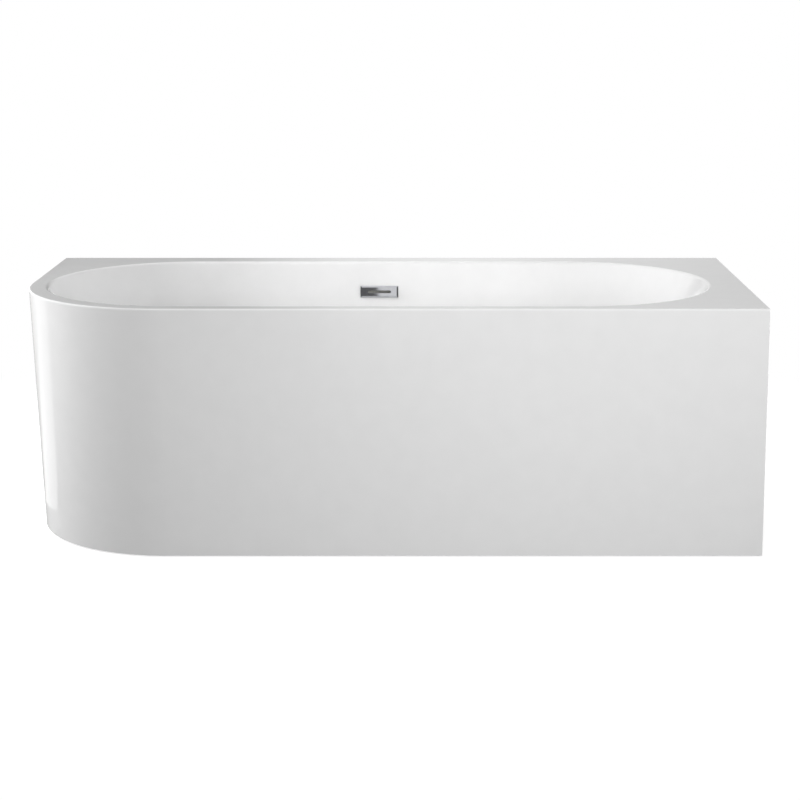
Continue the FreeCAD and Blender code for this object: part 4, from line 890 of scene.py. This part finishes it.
# %% Grey cards
CARDS = {
    # name: corners, then the card's tone as places along X in metres and hex colours
    "back_card": (
        [(-1.9, 3.0, 0.6), (1.9, 3.0, 0.6), (1.9, 3.0, 1.7), (-1.9, 3.0, 1.7)],
        [(-1.9, "#606060"), (-0.75, "#606060"), (-0.24, "#CDCDCD"), (0.24, "#E4E4E4"), (0.8, "#D9D9D9"),
         (1.9, "#D3D3D3")]),
    "floor_card": (
        [(-0.945, -0.125, 0.002), (-6.18, 2.17, 0.002), (-6.18, -6.0, 0.002), (4.0, -6.0, 0.002),
         (4.0, -0.36, 0.002), (-0.5, -0.36, 0.002), (-0.5, -0.2, 0.002), (-0.86, -0.2, 0.002)],
        [(-6.18, "#666666"), (4.0, "#666666")]),
    "strip_card": (
        [(-0.945, -0.125, 0.002), (-6.18, 2.17, 0.002), (-4.87, 3.4, 0.002), (-2.125, 1.364, 0.002),
         (-1.576, 0.887, 0.002), (-1.17, 0.465, 0.002), (-0.9, 0.05, 0.002)],
        [(-6.18, "#CCCCCC"), (-2.6, "#D8D8D8"), (-1.4, "#FFFFFF"), (-0.9, "#FFFFFF")]),
    "side_card": (
        [(-0.945, -0.125, 0.002), (-0.9, 0.05, 0.002), (-1.17, 0.465, 0.002), (-1.576, 0.887, 0.002),
         (-2.125, 1.364, 0.002), (-4.87, 3.4, 0.002), (-0.8, 4.05, 0.002), (-0.75, -0.2, 0.002),
         (-0.86, -0.2, 0.002)],
        [(-4.87, "#A8A8A8"), (-0.8, "#A8A8A8")]),
    "left_card": (
        [(-7.5, -4.3, 0.9), (-0.154, -4.3, 0.9), (-0.154, -4.3, 1.8), (-7.5, -4.3, 1.8)],
        [(-7.5, "#717171"), (-0.154, "#717171")]),
    "right_card": (
        [(3.5, -4.3, 0.9), (8.0, -4.3, 0.9), (8.0, -4.3, 1.8), (3.5, -4.3, 1.8)],
        [(3.5, "#717171"), (8.0, "#717171")]),
}
for name, (corners, tones) in CARDS.items():
    card, tree = stage_material("grey_" + name)
    low, high = tones[0][0], tones[-1][0]
    where = add(tree, "ShaderNodeTexCoord").outputs["Object"]
    across = add(tree, "ShaderNodeSeparateXYZ", None, {"Vector": where})
    share = add(tree, "ShaderNodeMapRange", None, {
        "Value": across.outputs["X"], "From Min": low, "From Max": high})
    tone = ramp(tree, share.outputs["Result"], [
        ((x - low) / (high - low), hex_colour) for x, hex_colour in tones])
    lit = add(tree, "ShaderNodeEmission", None, {"Color": tone, "Strength": 1.0})
    add(tree, "ShaderNodeOutputMaterial", None, {"Surface": lit.outputs[0]})
    plane = stage_plane(name, corners, card)
    plane.visible_camera = False
    plane.visible_diffuse = False
    plane.visible_shadow = False
print(len(CARDS), "cards")

# %% [markdown]
# ## Lamps
# The light was found by rendering the bath under one soft box at a time, and weighing the pictures until their sum
# had the photograph's greys. Each soft box is a rectangle of light that faces the bath, given by its place, its
# width and height, and its power. The gloss doesn't show the boxes, because the photograph shows none.

# %% Hang the soft boxes
AIM = (0, 0, 0.4)
LAMPS = {
    # name: place, width, height, power in watts
    "left_low_box": ((-2.4, -0.1, 0.45), 0.8, 0.8, 11.6),
    "left_box": ((-2.4, -0.1, 1.0), 0.8, 0.8, 9.0),
    "left_high_box": ((-2.4, -0.1, 1.9), 0.8, 0.8, 28.5),
    "left_rear_low_box": ((-2.2, 0.7, 0.45), 0.8, 0.8, 10.8),
    "left_rear_box": ((-1.9, 1.4, 1.9), 0.8, 0.8, 13.0),
    "front_low_box": ((0.2, -2.4, 0.5), 0.9, 0.8, 12.0),
    "front_box": ((0.5, -2.4, 1.2), 0.9, 0.8, 19.0),
    "right_front_box": ((2.4, -2.4, 1.2), 0.9, 0.8, 21.0),
    "top_rear_box": ((0.3, 1.3, 2.2), 1.1, 1.0, 15.0),
    "top_right_box": ((1.0, -0.8, 2.3), 1.1, 1.0, 6.5),
    "rear_low_box": ((0.6, 2.8, 0.6), 1.4, 0.8, 20.0),
}


def hang(name, light, place, aim):
    """Hangs a lamp at a place and turns it to its aim. Neither the camera nor the gloss sees it."""
    lamp = bpy.data.objects.new(name, light)
    lamp.location = place
    lamp.rotation_euler = (Vector(aim) - Vector(place)).to_track_quat("-Z", "Y").to_euler()
    lamp.visible_camera = False
    lamp.visible_glossy = False
    scene.collection.objects.link(lamp)


for name, (place, width, height, power) in LAMPS.items():
    light = bpy.data.lights.new(name, "AREA")
    light.shape = "RECTANGLE"
    light.size = width
    light.size_y = height
    light.energy = power
    hang(name, light, place, AIM)
print(len(LAMPS), "soft boxes of", round(sum(lamp[3] for lamp in LAMPS.values())), "W together")

# %% [markdown]
# The photograph's basin is brighter inside than the boxes make it, while the apron isn't. Two spots with narrow
# cones shine over the front edge into the basin, and hardly touch the apron or the deck.

# %% Point two spots into the basin
SPOT_BLEND, SPOT_RADIUS = 0.65, 0.12
SPOTS = {
    # name: place, aim, width of the cone in degrees, power in watts
    "basin_front_spot": ((0.1, -1.6, 2.2), (0.0, 0.29, 0.5), 22, 28.0),
    "basin_left_spot": ((-1.3, -0.9, 2.0), (0.2, 0.2, 0.5), 28, 24.0),
}
for name, (place, aim, cone, power) in SPOTS.items():
    light = bpy.data.lights.new(name, "SPOT")
    light.spot_size = math.radians(cone)
    light.spot_blend = SPOT_BLEND
    light.shadow_soft_size = SPOT_RADIUS
    light.energy = power
    hang(name, light, place, aim)
print(len(SPOTS), "spots")

# %% [markdown]
# The boxes on the left bring out the round end, but they would burn out all of the straight part behind it. A
# photographer hangs a scrim there, a net that thins the light. This one stands close to the bath's left end and
# grows denser towards the back, so that its shade has no edge. Nothing sees it apart from the light that passes
# through it.

# %% Hang a scrim on the left
SCRIM_X, SCRIM_FRONT, SCRIM_BACK, SCRIM_TOP = -0.95, 0.0, 0.7, 0.65
SCRIM_FADE = 0.3

net, tree = stage_material("graded_scrim_net")
where = add(tree, "ShaderNodeTexCoord").outputs["Object"]
along = add(tree, "ShaderNodeSeparateXYZ", None, {"Vector": where})
share = add(tree, "ShaderNodeMapRange", None, {
    "Value": along.outputs["Y"], "From Min": SCRIM_FRONT, "From Max": SCRIM_FRONT + SCRIM_FADE})
density = ramp(tree, share.outputs["Result"], [(0.0, "#FFFFFF"), (1.0, "#A0A0A0")])
threads = add(tree, "ShaderNodeBsdfTransparent", None, {"Color": density})
add(tree, "ShaderNodeOutputMaterial", None, {"Surface": threads.outputs[0]})
scrim = stage_plane("left_scrim", [
    (SCRIM_X, SCRIM_FRONT, 0), (SCRIM_X, SCRIM_BACK, 0), (SCRIM_X, SCRIM_BACK, SCRIM_TOP),
    (SCRIM_X, SCRIM_FRONT, SCRIM_TOP)], net)
scrim.visible_camera = False
scrim.visible_diffuse = False
scrim.visible_glossy = False
scrim.visible_transmission = False
print(f"scrim of {SCRIM_BACK - SCRIM_FRONT:.2f} by {SCRIM_TOP:.2f} m")

# %% [markdown]
# ## Finish
# The box of the dressed bath is printed.

# %% Print the dressed bath's box
low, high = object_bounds()
print("visual box", [round(b - a, 4) for a, b in zip(low, high)], "m")
